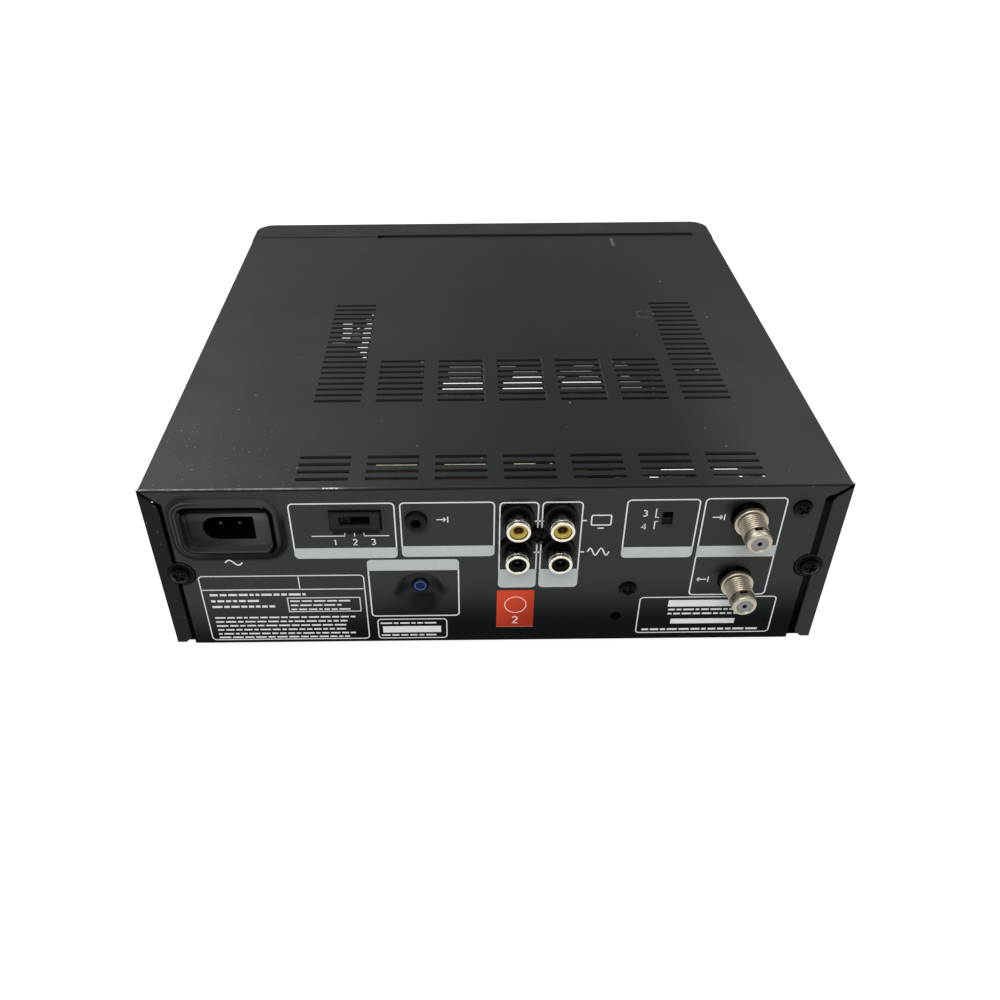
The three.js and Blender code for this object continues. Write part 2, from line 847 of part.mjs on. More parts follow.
const [pressedX, pressedY] = pressedRoller();
const pinchReach = Math.hypot(pressedX - pinch.pivotX, pressedY - pinch.pivotY);
const pinchAngle = Math.atan2(pressedY - pinch.pivotY, pressedX - pinch.pivotX) - pinch.swing;
const rollerX = deckX(pinch.pivotX + pinchReach * Math.cos(pinchAngle));
const rollerY = pinch.pivotY + pinchReach * Math.sin(pinchAngle);

function guideSlot(side) {
  const from = new THREE.Vector2(deckX(side * guide.startX), guide.startY);
  const to = new THREE.Vector2(deckX(side * guide.endX), guide.endY);
  const length = from.distanceTo(to) + guide.keel + guide.slotSpare;
  const geometry = new THREE.BoxGeometry(guide.slot, length, mechSheet + 2 * overrun);
  geometry.rotateZ(Math.atan2(to.y - from.y, to.x - from.x) - Math.PI / 2);
  geometry.translate(half(from.x + to.x), half(from.y + to.y), deck.low + half(mechSheet));
  return solid(geometry);
}

function deckShape() {
  const z = [deck.low, deckTop];
  const through = [deck.low - overrun, deckTop + overrun];
  const plate = box(span(deck.x, 2 * deck.halfWidth), [deck.rear, deck.front], z);
  const ear = flat(
    roundedRect(deckX(deck.earX), gear.y, deck.earWidth, deck.earDepth, deck.earCorner),
    z,
  );
  const frontFlange = box(
    span(deck.x, 2 * deck.flangeHalf),
    [deck.front - mechSheet, deck.front],
    [deck.low - deck.flangeDrop, deckTop],
  );
  const bushZ = [capstan.flywheelHigh + gap, deckTop + mechSheet];
  const bush = rod(deckX(capstan.x), capstan.y, capstan.bush, bushZ, roundSides);
  const pinchPost = rod(deckX(pinch.pivotX), pinch.pivotY, pinch.post, [deck.low, pinch.rollerHigh]);
  const idlerPost = rod(deck.x, idler.pivotY, idler.post, [deck.low, idler.postTop]);
  const gearStud = rod(gearX, gear.y, shaft.radius, [gear.low - gap, deckTop]);
  const lightening = bothSides((side) =>
    flat(
      roundedRect(deckX(side * reel.x), deck.holeY, deck.holeWidth, deck.holeDepth, deck.holeCorner),
      through,
    ),
  );
  const holes = [
    rod(deck.x, drum.y, drumBase.spigot + slack, through, roundSides),
    rod(deckX(capstan.x), capstan.y, shaft.radius + gap, [0, topZ]),
    ...bothSides((side) => rod(deckX(side * reel.x), reel.y, shaft.radius + gap, through)),
    ...bothSides(guideSlot),
    rod(motorX, gear.y, motor.shaftRoom, through),
    ...lightening,
  ];
  return cut(join([plate, ear, frontFlange, bush, pinchPost, idlerPost, gearStud]), holes);
}

function tiltedRod(radius, [from, to], sides) {
  const geometry = new THREE.CylinderGeometry(radius, radius, to - from, sides);
  geometry.rotateX(Math.PI / 2);
  geometry.translate(0, 0, half(from + to));
  geometry.rotateX(-drum.tilt);
  geometry.translate(deck.x, drum.y, drum.pivotZ);
  return solid(geometry);
}

function lowerDrumShape() {
  const base = rod(deck.x, drum.y, drumBase.radius, [deckSeat, deckSeat + drumBase.height], wheelSides);
  const spigot = rod(deck.x, drum.y, drumBase.spigot, [drumBase.spigotLow, deckSeat + gap], roundSides);
  return join([tiltedRod(drum.radius, [-drum.low, drum.split], wheelSides), base, spigot]);
}

function upperDrumShape() {
  const head = drumHead;
  const start = drum.split + gap;
  const profile = [
    [0, start],
    [drum.radius, start],
    [drum.radius, drum.high - drum.edge],
    [drum.radius - drum.edge, drum.high],
    [drumCap.radius, drum.high],
    [drumCap.radius, drum.high + drumCap.height],
    [drumCap.hub, drum.high + drumCap.height],
    [drumCap.hub, drum.high + drumCap.height + drumCap.hubHeight],
    [0, drum.high + drumCap.height + drumCap.hubHeight],
  ];
  const body = turned(0, 0, profile, wheelSides);
  const windows = bothSides((side) => {
    const rim = [drum.radius - head.depth, drum.radius + overrun];
    const reach = side > 0 ? rim : [-rim[1], -rim[0]];
    return box(reach, span(0, head.width), [start - overrun, start + head.height]);
  });
  return cut(body, windows);
}

function capstanShape() {
  const c = capstan;
  const profile = [
    [0, c.flywheelLow],
    [c.flywheel, c.flywheelLow],
    [c.flywheel, c.flywheelHigh],
    [shaft.radius, c.flywheelHigh],
    [shaft.radius, c.top],
    [0, c.top],
  ];
  return turned(deckX(c.x), c.y, profile);
}

function pinchArmShape() {
  const p = pinch;
  const low = deckSeat;
  const px = deckX(p.pivotX);
  const z = [low, low + p.armSheet];
  const geometry = new THREE.BoxGeometry(pinchReach, p.armWidth, p.armSheet);
  geometry.rotateZ(pinchAngle);
  geometry.translate(half(px + rollerX), half(p.pivotY + rollerY), half(z[0] + z[1]));
  const hub = rod(px, p.pivotY, p.hub, [low, low + p.hubHeight], roundSides);
  const end = rod(rollerX, rollerY, half(p.armWidth), z, roundSides);
  const rollerPin = rod(rollerX, rollerY, p.pinRadius, [low, p.rollerHigh + slack]);
  const bore = rod(px, p.pivotY, p.post + gap, [0, topZ]);
  return join([solid(geometry), hub, end, rollerPin]).subtract(bore);
}

function reelShape(x) {
  const r = reel;
  const low = deckSeat;
  const flangeTop = low + r.flangeHeight;
  const seatTop = flangeTop + r.seatHeight;
  const profile = [
    [0, deck.low - shaft.below],
    [shaft.radius, deck.low - shaft.below],
    [shaft.radius, low],
    [r.flange, low],
    [r.flange, flangeTop],
    [r.seat, flangeTop],
    [r.seat, seatTop],
    [r.spindle, seatTop],
    [r.spindle, r.top - r.taper],
    [r.tip, r.top],
    [0, r.top],
  ];
  const table = turned(x, r.y, profile, roundSides);
  const ribs = Array.from({ length: reelRib.count }, (_, i) => {
    const geometry = new THREE.BoxGeometry(reelRib.reach, reelRib.width, reelRib.top - flangeTop);
    geometry.translate(half(reelRib.reach), 0, half(flangeTop + reelRib.top));
    geometry.rotateZ((i * 2 * Math.PI) / reelRib.count);
    geometry.translate(x, r.y, 0);
    return solid(geometry);
  });
  return join([table, ...ribs]);
}

function idlerShape() {
  const i = idler;
  const low = deckSeat + i.wheelLow;
  const high = low + i.wheelHeight;
  const wheelY = i.pivotY - i.reach;
  const wheel = rod(deck.x, wheelY, i.wheel, [low, high], roundSides);
  const arm = box(span(deck.x, i.arm), [wheelY, i.pivotY], [high, high + i.armSheet]);
  const hub = rod(deck.x, i.pivotY, i.hub, [deckSeat, high + i.armSheet], roundSides);
  const bore = rod(deck.x, i.pivotY, i.post + gap, [0, topZ]);
  return join([wheel, arm, hub]).subtract(bore);
}

function guideShape(side) {
  const g = guide;
  const x = deckX(side * g.startX);
  const y = g.startY;
  const top = deckSeat + g.sledHeight;
  const turn = Math.atan2(g.endY - g.startY, side * (g.endX - g.startX)) - Math.PI / 2;
  const sledBody = rod(x, y, half(g.sled), [deckSeat, top]);
  const keelGeometry = new THREE.BoxGeometry(g.keel, g.keel, top - g.keelLow);
  keelGeometry.rotateZ(turn);
  keelGeometry.translate(x, y, half(top + g.keelLow));
  const foot = rod(x, y, half(g.foot), [g.footLow, deck.low - gap]);
  const post = rod(x, y, half(g.roller), [top, g.rollerTop]);
  const roller = rod(x, y, g.roller, [top + g.flangeHeight, g.rollerTop - g.flangeHeight]);
  const cap = rod(x, y, g.flange, [g.rollerTop - g.flangeHeight, g.rollerTop]);
  const pole = new THREE.CylinderGeometry(g.pole, g.pole, g.rollerTop - deckSeat, smallSides);
  pole.rotateX(Math.PI / 2 + g.poleLean);
  pole.translate(x - side * g.poleX, y + g.poleY, half(deckSeat + g.rollerTop));
  const levels = box([-width, width], [0, coverDepth], [deckSeat, g.rollerTop]);
  const leaning = solid(pole).intersect(levels);
  const shelf = box(span(x - side * half(g.poleX), g.shelfWidth), [y, y + g.shelfDepth], [deckSeat, top]);
  return join([sledBody, solid(keelGeometry), foot, post, roller, cap, leaning, shelf]);
}

// A spur gear: straight flanks between the root and the tip of each tooth.
function gearShape(x, y, teeth, turn, bore) {
  const pitch = pitchRadius(teeth);
  const tip = pitch + tooth.addendum;
  const root = pitch - tooth.dedendum;
  const step = (2 * Math.PI) / teeth;
  const points = [];
  for (let i = 0; i < teeth; i += 1) {
    const middle = turn + i * step;
    for (const [radius, share] of [
      [root, -tooth.rootShare],
      [tip, -tooth.tipShare],
      [tip, tooth.tipShare],
      [root, tooth.rootShare],
    ]) {
      const angle = middle + half(share * step);
      points.push([x + radius * Math.cos(angle), y + radius * Math.sin(angle)]);
    }
  }
  const shape = outline(points);
  if (bore) shape.holes.push(new THREE.Path().absarc(x, y, bore, 0, 2 * Math.PI));
  return flat(shape, [gear.low, gear.low + gear.height]);
}

function loadingGearShape() {
  const teeth = gearShape(gearX, gear.y, gear.teeth, Math.PI / gear.teeth);
  const hub = rod(gearX, gear.y, gear.hub, [gear.low, deck.low - gap], roundSides);
  const bore = rod(gearX, gear.y, shaft.radius + gap, [0, topZ]);
  const holes = Array.from({ length: gear.holes }, (_, i) => {
    const angle = Math.PI / 4 + (2 * Math.PI * i) / gear.holes;
    const ring = half(pitchRadius(gear.teeth) + gear.hub);
    return rod(
      gearX + ring * Math.cos(angle),
      gear.y + ring * Math.sin(angle),
      gear.hole,
      [gear.low - overrun, gear.low + gear.height + overrun],
    );
  });
  return cut(teeth.add(hub), [bore, ...holes]);
}

function pinionShape() {
  const teeth = gearShape(motorX, gear.y, gear.pinionTeeth, 0);
  return teeth.add(rod(motorX, gear.y, motor.shaft, [gear.low, motor.shaftTop]));
}

function motorShape() {
  const m = motor;
  const profile = [
    [m.bore, deckSeat],
    [m.radius - m.edge, deckSeat],
    [m.radius, deckSeat + m.edge],
    [m.radius, m.top - m.edge],
    [m.radius - m.edge, m.top],
    [0, m.top],
    [0, m.boreTop],
    [m.bore, m.boreTop],
    [m.bore, deckSeat],
  ];
  return turned(motorX, gear.y, profile);
}

// Cassette loading: a fixed frame, a slider that runs to the rear and a holder that drops inside it
const cassette = { width: 95, depth: 62.5, height: 15, level: 49, play: 1 };
const drop = 11;
const holderHalf = half(cassette.width + cassette.play) + holderSheet;
const holderFront = 225.5;
const holderRear = holderFront - cassette.depth - half(cassette.play);
const travel = 16.5;
const holderTop = cassette.level + cassette.height + gap + holderSheet;
const lipWidth = 6;
const holderWindow = { width: 24.4, depth: 31.25, corner: 5.2 };
const sliderWindow = { width: 73.6, depth: 44.5, corner: 6 };
const frame = {
  outer: 66,
  rear: 103,
  slopeRear: 113,
  slopeFront: 154.5,
  front: 226,
  high: 72,
  shoulder: 52,
  stayY: 195,
  stayWidth: 16,
  foot: 6,
  footLength: 18,
};
const frameWindow = { y: 164.5, z: 45.6, length: 61.5, height: 14.9, corner: 6 };
const slider = { gap: 3, low: 41, topGap: 1.2, pinRadius: 1.8, pinZ: 62, pinInset: 14 };
const sliderHalf = holderHalf + slider.gap + mechSheet;
const sliderLow = holderTop + slider.topGap;
const holderPin = { radius: 1.5, z: 56, inset: 15 };
const holderPinYs = [holderRear + holderPin.inset, holderFront - holderPin.inset];
const sliderPinYs = [holderRear + slider.pinInset + half(travel), holderFront - slider.pinInset];

// Two distances from the middle of the deck, on one side of it, as a rising pair of x.
const ordered = (side, near, far) => (side > 0 ? [deckX(near), deckX(far)] : [deckX(-far), deckX(-near)]);

function holderShape() {
  const y = [holderRear, holderFront];
  const low = cassette.level - gap;
  const top = box(span(deck.x, 2 * holderHalf), y, [holderTop - holderSheet, holderTop]);
  const sides = bothSides((side) =>
    box(
      span(deckX(side * (holderHalf - half(holderSheet))), holderSheet),
      y,
      [low - holderSheet, holderTop],
    ),
  );
  const lips = bothSides((side) =>
    box(span(deckX(side * (holderHalf - half(lipWidth))), lipWidth), y, [low - holderSheet, low]),
  );
  const pins = bothSides((side) => {
    const ends = ordered(side, holderHalf - half(holderSheet), sliderHalf + gap);
    return holderPinYs.map((py) => pin(ends, py, holderPin.z, holderPin.radius));
  }).flat();
  const windows = bothSides((side) =>
    flat(
      roundedRect(
        deckX(side * half(holderHalf)),
        half(holderRear + holderFront),
        holderWindow.width,
        holderWindow.depth,
        holderWindow.corner,
      ),
      [holderTop - holderSheet - half(overrun), holderTop + overrun],
    ),
  );
  return cut(join([top, ...sides, ...lips, ...pins]), windows);
}

function sliderShape() {
  const y = [holderRear, holderFront];
  const top = box(span(deck.x, 2 * sliderHalf), y, [sliderLow, sliderLow + mechSheet]);
  const sides = bothSides((side) =>
    box(
      span(deckX(side * (sliderHalf - half(mechSheet))), mechSheet),
      y,
      [slider.low, sliderLow + mechSheet],
    ),
  );
  const pins = bothSides((side) => {
    const ends = ordered(side, sliderHalf - half(mechSheet), frame.outer + slack);
    return sliderPinYs.map((py) => pin(ends, py, slider.pinZ, slider.pinRadius));
  }).flat();
  const slotHalf = holderPin.radius + gap;
  const slots = bothSides((side) =>
    holderPinYs.map((py) =>
      box(
        span(deckX(side * (sliderHalf - half(mechSheet))), mechSheet + overrun),
        span(py, 2 * slotHalf),
        [holderPin.z - drop - slotHalf - gap, holderPin.z + slotHalf],
      ),
    ),
  ).flat();
  const window = flat(
    roundedRect(
      deck.x,
      half(holderRear + holderFront),
      sliderWindow.width,
      sliderWindow.depth,
      sliderWindow.corner,
    ),
    [sliderLow - half(overrun), sliderLow + mechSheet + overrun],
  );
  return cut(join([top, ...sides, ...pins]), [...slots, window]);
}

function frameShape() {
  const f = frame;
  const y = [f.rear, f.front];
  const inner = f.outer - mechSheet;
  const pinRoom = slider.pinRadius + gap;
  const walls = bothSides((side) => {
    const reach = ordered(side, inner, f.outer);
    const profile = outline([
      [f.rear, deckSeat],
      [f.front, deckSeat],
      [f.front, f.high],
      [f.slopeFront, f.high],
      [f.slopeRear, f.shoulder],
      [f.rear, f.shoulder],
    ]);
    return sideways(profile, reach);
  });
  const feet = bothSides((side) => {
    const reach = ordered(side, inner - f.foot, f.outer);
    return [f.rear, f.front - f.footLength].map((start) =>
      box(reach, [start, start + f.footLength], [deckSeat, deckSeat + mechSheet]),
    );
  }).flat();
  const stayY = span(f.stayY, f.stayWidth);
  const stay = box(span(deck.x, 2 * f.outer), stayY, [f.high - mechSheet, f.high]);
  const pinSlots = sliderPinYs.map((py) =>
    box(
      span(deck.x, 2 * f.outer + overrun),
      [py - travel - pinRoom, py + pinRoom],
      span(slider.pinZ, 2 * pinRoom),
    ),
  );
  const sideWindows = bothSides((side) => {
    const reach = ordered(side, inner - overrun, f.outer + overrun);
    const w = frameWindow;
    const window = roundedRect(w.y, w.z, w.length, w.height, w.corner);
    return sideways(window, reach);
  });
  return cut(join([...walls, ...feet, stay]), [...pinSlots, ...sideWindows]);
}

// Boards and supplies
const powerBoard = { left: -119, right: -70, rear: 6, front: 118 };
const mainBoard = { left: -62, right: 118, rear: 4.5, front: 222 };
const chip = { width: 14, depth: 9, height: 3 };
const canCapacitor = { radius: 5, height: 16 };
const chipShares = [
  [0.22, 0.14],
  [0.4, 0.24],
  [0.62, 0.24],
  [0.12, 0.36],
  [0.5, 0.62],
  [0.3, 0.74],
  [0.66, 0.86],
  [0.86, 0.62],
  [0.86, 0.76],
];
const capacitorShares = [
  [0.9, 0.26],
  [0.9, 0.34],
  [0.94, 0.44],
  [0.08, 0.16],
  [0.09, 0.24],
];
const powerChipShares = [[0.75, 0.12]];
const powerCapacitorShares = [
  [0.5, 0.3],
  [0.75, 0.36],
  [0.5, 0.46],
];
const transformer = {
  x: -94,
  y: 92,
  width: 42,
  height: 36,
  core: 16,
  coilWidth: 30,
  coilHeight: 24,
  coilDepth: 34,
  corner: 6,
};
const heatSink = { left: -117, width: 4, fins: 5, finPitch: 8, height: 30, rear: 34, finReach: 9 };
const shield = {
  left: -21,
  right: 64,
  rear: 73,
  front: 98,
  low: 38,
  high: 75,
  wall: 0.8,
  leg: 7,
  hole: 2.5,
  holePitch: 20,
};
const standoff = { radius: 3, inset: 6, rearInset: 24 };

function withParts(board, level, chips, capacitors) {
  const x = (share) => board.left + share * (board.right - board.left);
  const y = (share) => board.rear + share * (board.front - board.rear);
  const sunk = level - half(boardSheet);
  const chipZ = [sunk, level + chip.height];
  const capacitorZ = [sunk, level + canCapacitor.height];
  return [
    ...chips.map(([a, b]) => box(span(x(a), chip.width), span(y(b), chip.depth), chipZ)),
    ...capacitors.map(([a, b]) => rod(x(a), y(b), canCapacitor.radius, capacitorZ)),
  ];
}

function mainBoardShape() {
  const b = mainBoard;
  const plate = box([b.left, b.right], [b.rear, b.front], [boardLow, mainBoardTop]);
  const postRooms = deckPosts.map(([x, y]) => rod(x, y, deck.postRadius + slack, [0, topZ]));
  return cut(join([plate, ...withParts(b, mainBoardTop, chipShares, capacitorShares)]), postRooms);
}

function powerBoardShape() {
  const b = powerBoard;
  const h = heatSink;
  const plate = box([b.left, b.right], [b.rear, b.front], [boardLow, mainBoardTop]);
  const parts = withParts(b, mainBoardTop, powerChipShares, powerCapacitorShares);
  const back = box(
    [h.left, h.left + h.width],
    [h.rear, h.rear + (h.fins - 1) * h.finPitch + half(h.width)],
    [boardLow + half(boardSheet), mainBoardTop + h.height],
  );
  const fins = Array.from({ length: h.fins }, (_, i) =>
    box(
      [h.left + half(h.width), h.left + h.finReach],
      [h.rear + i * h.finPitch, h.rear + i * h.finPitch + half(h.width)],
      [mainBoardTop + h.width, mainBoardTop + h.height],
    ),
  );
  return join([plate, ...parts, back, ...fins]);
}

function transformerShape() {
  const t = transformer;
  const low = mainBoardTop + gap;
  const core = box(span(t.x, t.width), span(t.y, t.core), [low, low + t.height]);
  const coil = upright(
    roundedRect(t.x, low + half(t.height), t.coilWidth, t.coilHeight, t.corner),
    span(t.y, t.coilDepth),
  );
  return core.add(coil);
}

function jackBoardShape() {
  const z = [mainBoardTop + gap, jackBoard.high];
  return box([jackBoard.left, jackBoard.right], [jackBoard.y, jackBoard.y + boardSheet], z);
}

function shieldShape() {
  const s = shield;
  const shell = box([s.left, s.right], [s.rear, s.front], [s.low, s.high]);
  const inside = box(
    [s.left + s.wall, s.right - s.wall],
    [s.rear + s.wall, s.front - s.wall],
    [s.low - overrun, s.high - s.wall],
  );
  const legZ = [mainBoardTop + gap, s.low + overrun];
  const legs = [s.left, s.right - s.leg].flatMap((x) =>
    [s.rear, s.front - s.wall].map((y) => box([x, x + s.leg], [y, y + s.wall], legZ)),
  );
  const middleX = half(s.left + s.right);
  const middleY = half(s.rear + s.front);
  const holes = [-1, 0, 1].map((i) =>
    rod(middleX + i * s.holePitch, middleY, s.hole, [s.high - overrun, s.high + overrun]),
  );
  return cut(join([shell.subtract(inside), ...legs]), holes);
}

// Pan: the steel floor that carries the boards, the deck's posts and the feet
const pan = {
  rear: panelDepth + gap,
  front: coverDepth - gap,
  side: 14,
  lip: 12,
  lipInset: 11,
  ribWidth: 3,
  ribHeight: 1.5,
  ribShare: 0.25,
  ribInset: 24,
};
const foot = { sideInset: 17, inset: 16, radius: 8, taper: 1, spigot: 2.2, spigotHeight: 1 };
const footPlaces = bothSides((side) => [
  [side * (halfWidth - foot.sideInset), foot.inset],
  [side * (halfWidth - foot.sideInset), coverDepth - foot.inset],
]).flat();
const panVent = { sideInset: 31, rear: 26, pitch: 8, count: 7, length: 32, width: 3 };
const panTop = footHeight + panSheet;
const standoffPlaces = [powerBoard, mainBoard].flatMap((board) => {
  const { inset, rearInset } = standoff;
  return [board.left + inset, board.right - inset].flatMap((x) =>
    [board.rear + rearInset, board.front - inset].map((y) => [x, y]),
  );
});

function panShape() {
  const floor = box([-innerHalf, innerHalf], [pan.rear, pan.front], [footHeight, panTop]);
  const sides = bothSides((side) =>
    box(
      span(side * (innerHalf - half(panSheet)), panSheet),
      [pan.rear, pan.front],
      [footHeight, footHeight + pan.side],
    ),
  );
  const lip = box(
    [pan.lipInset - halfWidth, halfWidth - pan.lipInset],
    [pan.rear, pan.rear + panSheet],
    [footHeight, footHeight + pan.lip],
  );
  const posts = deckPosts.map(([x, y]) => rod(x, y, deck.postRadius, [footHeight, deck.low - gap]));
  const standoffZ = [footHeight, boardLow - gap];
  const standoffs = standoffPlaces.map(([x, y]) => rod(x, y, standoff.radius, standoffZ));
  const ribs = bothSides((side) =>
    box(
      span(side * pan.ribShare * width, pan.ribWidth),
      [pan.rear + pan.ribInset, pan.front - pan.ribInset],
      [footHeight, panTop + pan.ribHeight],
    ),
  );
  const vents = Array.from({ length: panVent.count }, (_, i) =>
    box(
      span(panVent.sideInset - halfWidth, panVent.length),
      span(panVent.rear + i * panVent.pitch, panVent.width),
      [footHeight - overrun, panTop + overrun],
    ),
  );
  const footHoles = footPlaces.map(([x, y]) =>
    rod(x, y, foot.spigot + gap, [footHeight - overrun, panTop + overrun]),
  );
  return cut(join([floor, ...sides, lip, ...posts, ...standoffs, ...ribs]), [...vents, ...footHoles]);
}

function footShape(x, y) {
  const top = footHeight - gap;
  const profile = [
    [0, 0],
    [foot.radius - foot.taper, 0],
    [foot.radius, top],
    [foot.spigot, top],
    [foot.spigot, panTop + foot.spigotHeight],
    [0, panTop + foot.spigotHeight],
  ];
  return turned(x, y, profile);
}

// Front: a hollow moulding with rounded corners, its flap, window and keys
const bezel = {
  corner: 9,
  round: 1.2,
  lipDepth: 6,
  lipWall: 1.5,
  lipLow: 22,
  boss: 2,
  bossInset: 2.3,
  shadowInset: 11,
  shadowShare: 0.228,
  shadowWidth: 4.8,
};
const hinge = {
  inset: 3.1,
  z: 66.2,
  radius: 1,
  pin: 0.8,
  pinReach: 2.2,
  bossWidth: 4,
  bossDepth: 4,
  bossHeight: 6,
};
const hingeY = faceY - hinge.inset;
const flap = { halfWidth: 50, height: 17.6, sheet: 2, grip: 50, gripDepth: 2 };
const windowPane = {
  share: 0.32,
  up: 53,
  width: 64,
  height: 22,
  openWidth: 60,
  openHeight: 18,
  sheet: 1.5,
  corner: 2,
};
const windowX = -windowPane.share * width;
const windowZ = onPanel(windowPane.up);
const keyRow = { x: deck.x, up: 17, pitch: 17.5, width: 15.4, height: 7.4, tab: 1.6 };
const sideButton = { height: 53, width: 14, tall: 9 };
const key = { proud: 1, draft: 0.4, flange: 1.2, stem: 4, travel: 0.8 };
const frontBoard = {
  behindFace: 12,
  low: 9,
  high: 42,
  sideInset: 11,
  innerLeft: -46,
  innerRight: 70,
  top: 73,
};
const display = { width: 56, height: 18, depth: 3 };
const tact = { size: 5, height: 1.6 };
const frontBoardBack = faceY - frontBoard.behindFace;
const frontBoardHalf = halfWidth - frontBoard.sideInset;
const boardFront = frontBoardBack + boardSheet;
const tactFront = boardFront + tact.height;
const keyNames = ["rewind_key", "play_key", "forward_key", "stop_key", "pause_key", "record_key"];
const keyPlaces = keyNames.map((name, i) => [
  name,
  keyRow.x - (i - half(keyNames.length - 1)) * keyRow.pitch,
  onPanel(keyRow.up),
  keyRow.width,
  keyRow.height,
]);
const buttonX = { power_button: 106, eject_button: 84 };
const buttonPlaces = Object.entries(buttonX).map(([name, x]) => [
  name,
  x,
  onPanel(sideButton.height),
  sideButton.width,
  sideButton.tall,
]);
const allKeys = [...keyPlaces, ...buttonPlaces];

// A plan whose two front corners are rounded.
function frontPlan(side, rear, front, corner) {
  const plan = new THREE.Shape();
  plan.moveTo(-side, rear);
  plan.lineTo(side, rear);
  plan.absarc(side - corner, front - corner, corner, 0, Math.PI / 2);
  plan.absarc(corner - side, front - corner, corner, Math.PI / 2, Math.PI);
  return plan;
}

function bezelShape() {
  const b = bezel;
  const edge = b.round;
  const curve = { curveSegments: sweepSteps };
  const bevel = { bevelEnabled: true, bevelSize: edge, bevelThickness: edge, bevelSegments: 2, ...curve };
  const outer = frontPlan(halfWidth - edge, coverDepth - overrun, faceY - edge, b.corner - edge);
  const inner = frontPlan(halfWidth - bezelWall, 0, wallBackY, b.corner - bezelWall);
  const block = flat(outer, [footHeight + edge, topZ - edge], bevel);
  const behind = box([-width, width], [0, coverDepth], [0, 2 * topZ]);
  const cavity = flat(inner, [footHeight + bezelWall, topZ - bezelWall], curve);
  const shell = block.subtract(behind).subtract(cavity);
  const lipTop = underCover - gap;
  const lipInner = innerHalf - b.lipWall;
  const lipEdge = [
    [lipInner, lipTop - b.lipWall],
    [lipInner, b.lipLow],
    [innerHalf, b.lipLow],
    [innerHalf, lipTop - half(b.lipWall)],
    [innerHalf - half(b.lipWall), lipTop],
  ];
  const lip = upright(
    outline([...lipEdge, ...lipEdge.map(([x, z]) => [-x, z]).reverse()]),
    [coverDepth - b.lipDepth, coverDepth + half(bezelWall)],
  );
  const shadowGap = box(
    [-b.shadowShare * width, halfWidth - b.shadowInset],
    [coverDepth - overrun, coverDepth + b.shadowWidth],
    [underCover, topZ + overrun],
  );
  const hingeBosses = bothSides((side) => {
    const start = flap.halfWidth + gap;
    const reach = ordered(side, start, start + hinge.bossWidth);
    return box(reach, [wallBackY - hinge.bossDepth, wallBackY + overrun], span(hinge.z, hinge.bossHeight));
  });
  const bossY = [boardFront + gap, wallBackY + half(bezelWall)];
  const boardBosses = bothSides((side) =>
    [frontBoard.low + b.bossInset, frontBoard.top - b.bossInset].map((z) =>
      plug(side * (frontBoardHalf - b.bossInset), z, b.boss, bossY),
    ),
  ).flat();
  const through = [wallBackY - overrun, faceY + overrun];
  const slot = box(
    span(deck.x, 2 * (flap.halfWidth + gap)),
    [wallBackY - hinge.bossDepth - overrun, faceY + overrun],
    [hinge.z - flap.height - slack, hinge.z + hinge.radius + slack],
  );
  const pinRooms = pin(
    span(deck.x, 2 * (flap.halfWidth + hinge.pinReach + gap)),
    hingeY,
    hinge.z,
    hinge.pin + gap,
  );
  const windowHole = box(
    span(windowX, windowPane.openWidth),
    through,
    span(windowZ, windowPane.openHeight),
  );
  const windowSeat = box(
    span(windowX, windowPane.width + slack),
    [faceY - windowPane.sheet - gap, faceY + overrun],
    span(windowZ, windowPane.height + slack),
  );
  const keyHoles = allKeys.map(([, x, z, w, h]) => box(span(x, w + slack), through, span(z, h + slack)));
  const whole = join([shell, lip, ...hingeBosses, ...boardBosses]);
  return cut(whole, [shadowGap, slot, pinRooms, windowHole, windowSeat, ...keyHoles]);
}

function flapShape() {
  const x = span(deck.x, 2 * flap.halfWidth);
  const y = span(hingeY, flap.sheet);
  const plate = box(x, y, [hinge.z - flap.height, hinge.z]);
  const bead = pin(x, hingeY, hinge.z, hinge.radius);
  const pins = pin(span(deck.x, 2 * (flap.halfWidth + hinge.pinReach)), hingeY, hinge.z, hinge.pin);
  const grip = box(
    span(deck.x, flap.grip),
    [hingeY - flap.gripDepth, hingeY],
    [hinge.z - flap.height, hinge.z - flap.height + flap.gripDepth],
  );
  return join([plate, bead, pins, grip]);
}

function paneShape() {
  return upright(
    roundedRect(windowX, windowZ, windowPane.width, windowPane.height, windowPane.corner),
    [faceY - windowPane.sheet, faceY],
  );
}

function keyShape([, x, z, w, h]) {
  const cap = blended(
    span(x, w),
    span(z, h),
    wallBackY - gap - key.flange,
    span(x, w - 2 * key.draft),
    span(z, h - 2 * key.draft),
    faceY + key.proud,
  );
  const tabY = [wallBackY - gap - key.flange, wallBackY - gap];
  const tabs = box(span(x, w), tabY, span(z, h + 2 * keyRow.tab));
  const stem = box(
    span(x, key.stem),
    [tactFront + gap + key.travel, wallBackY - gap],
    span(z, key.stem),
  );
  return join([cap, tabs, stem]);
}

function frontBoardShape() {
  const f = frontBoard;
  const y = [frontBoardBack, boardFront];
  const strip = box([-frontBoardHalf, frontBoardHalf], y, [f.low, f.high]);
  const displayEar = box([-frontBoardHalf, f.innerLeft], y, [f.low, f.top]);
  const buttonEar = box([f.innerRight, frontBoardHalf], y, [f.low, f.top]);
  const tube = box(
    span(windowX, display.width),
    [boardFront - half(boardSheet), boardFront + display.depth],
    span(windowZ, display.height),
  );
  const tacts = allKeys.map(([, x, z]) =>
    box(span(x, tact.size), [boardFront - half(boardSheet), tactFront], span(z, tact.size)),
  );
  return join([strip, displayEar, buttonEar, tube, ...tacts]);
}

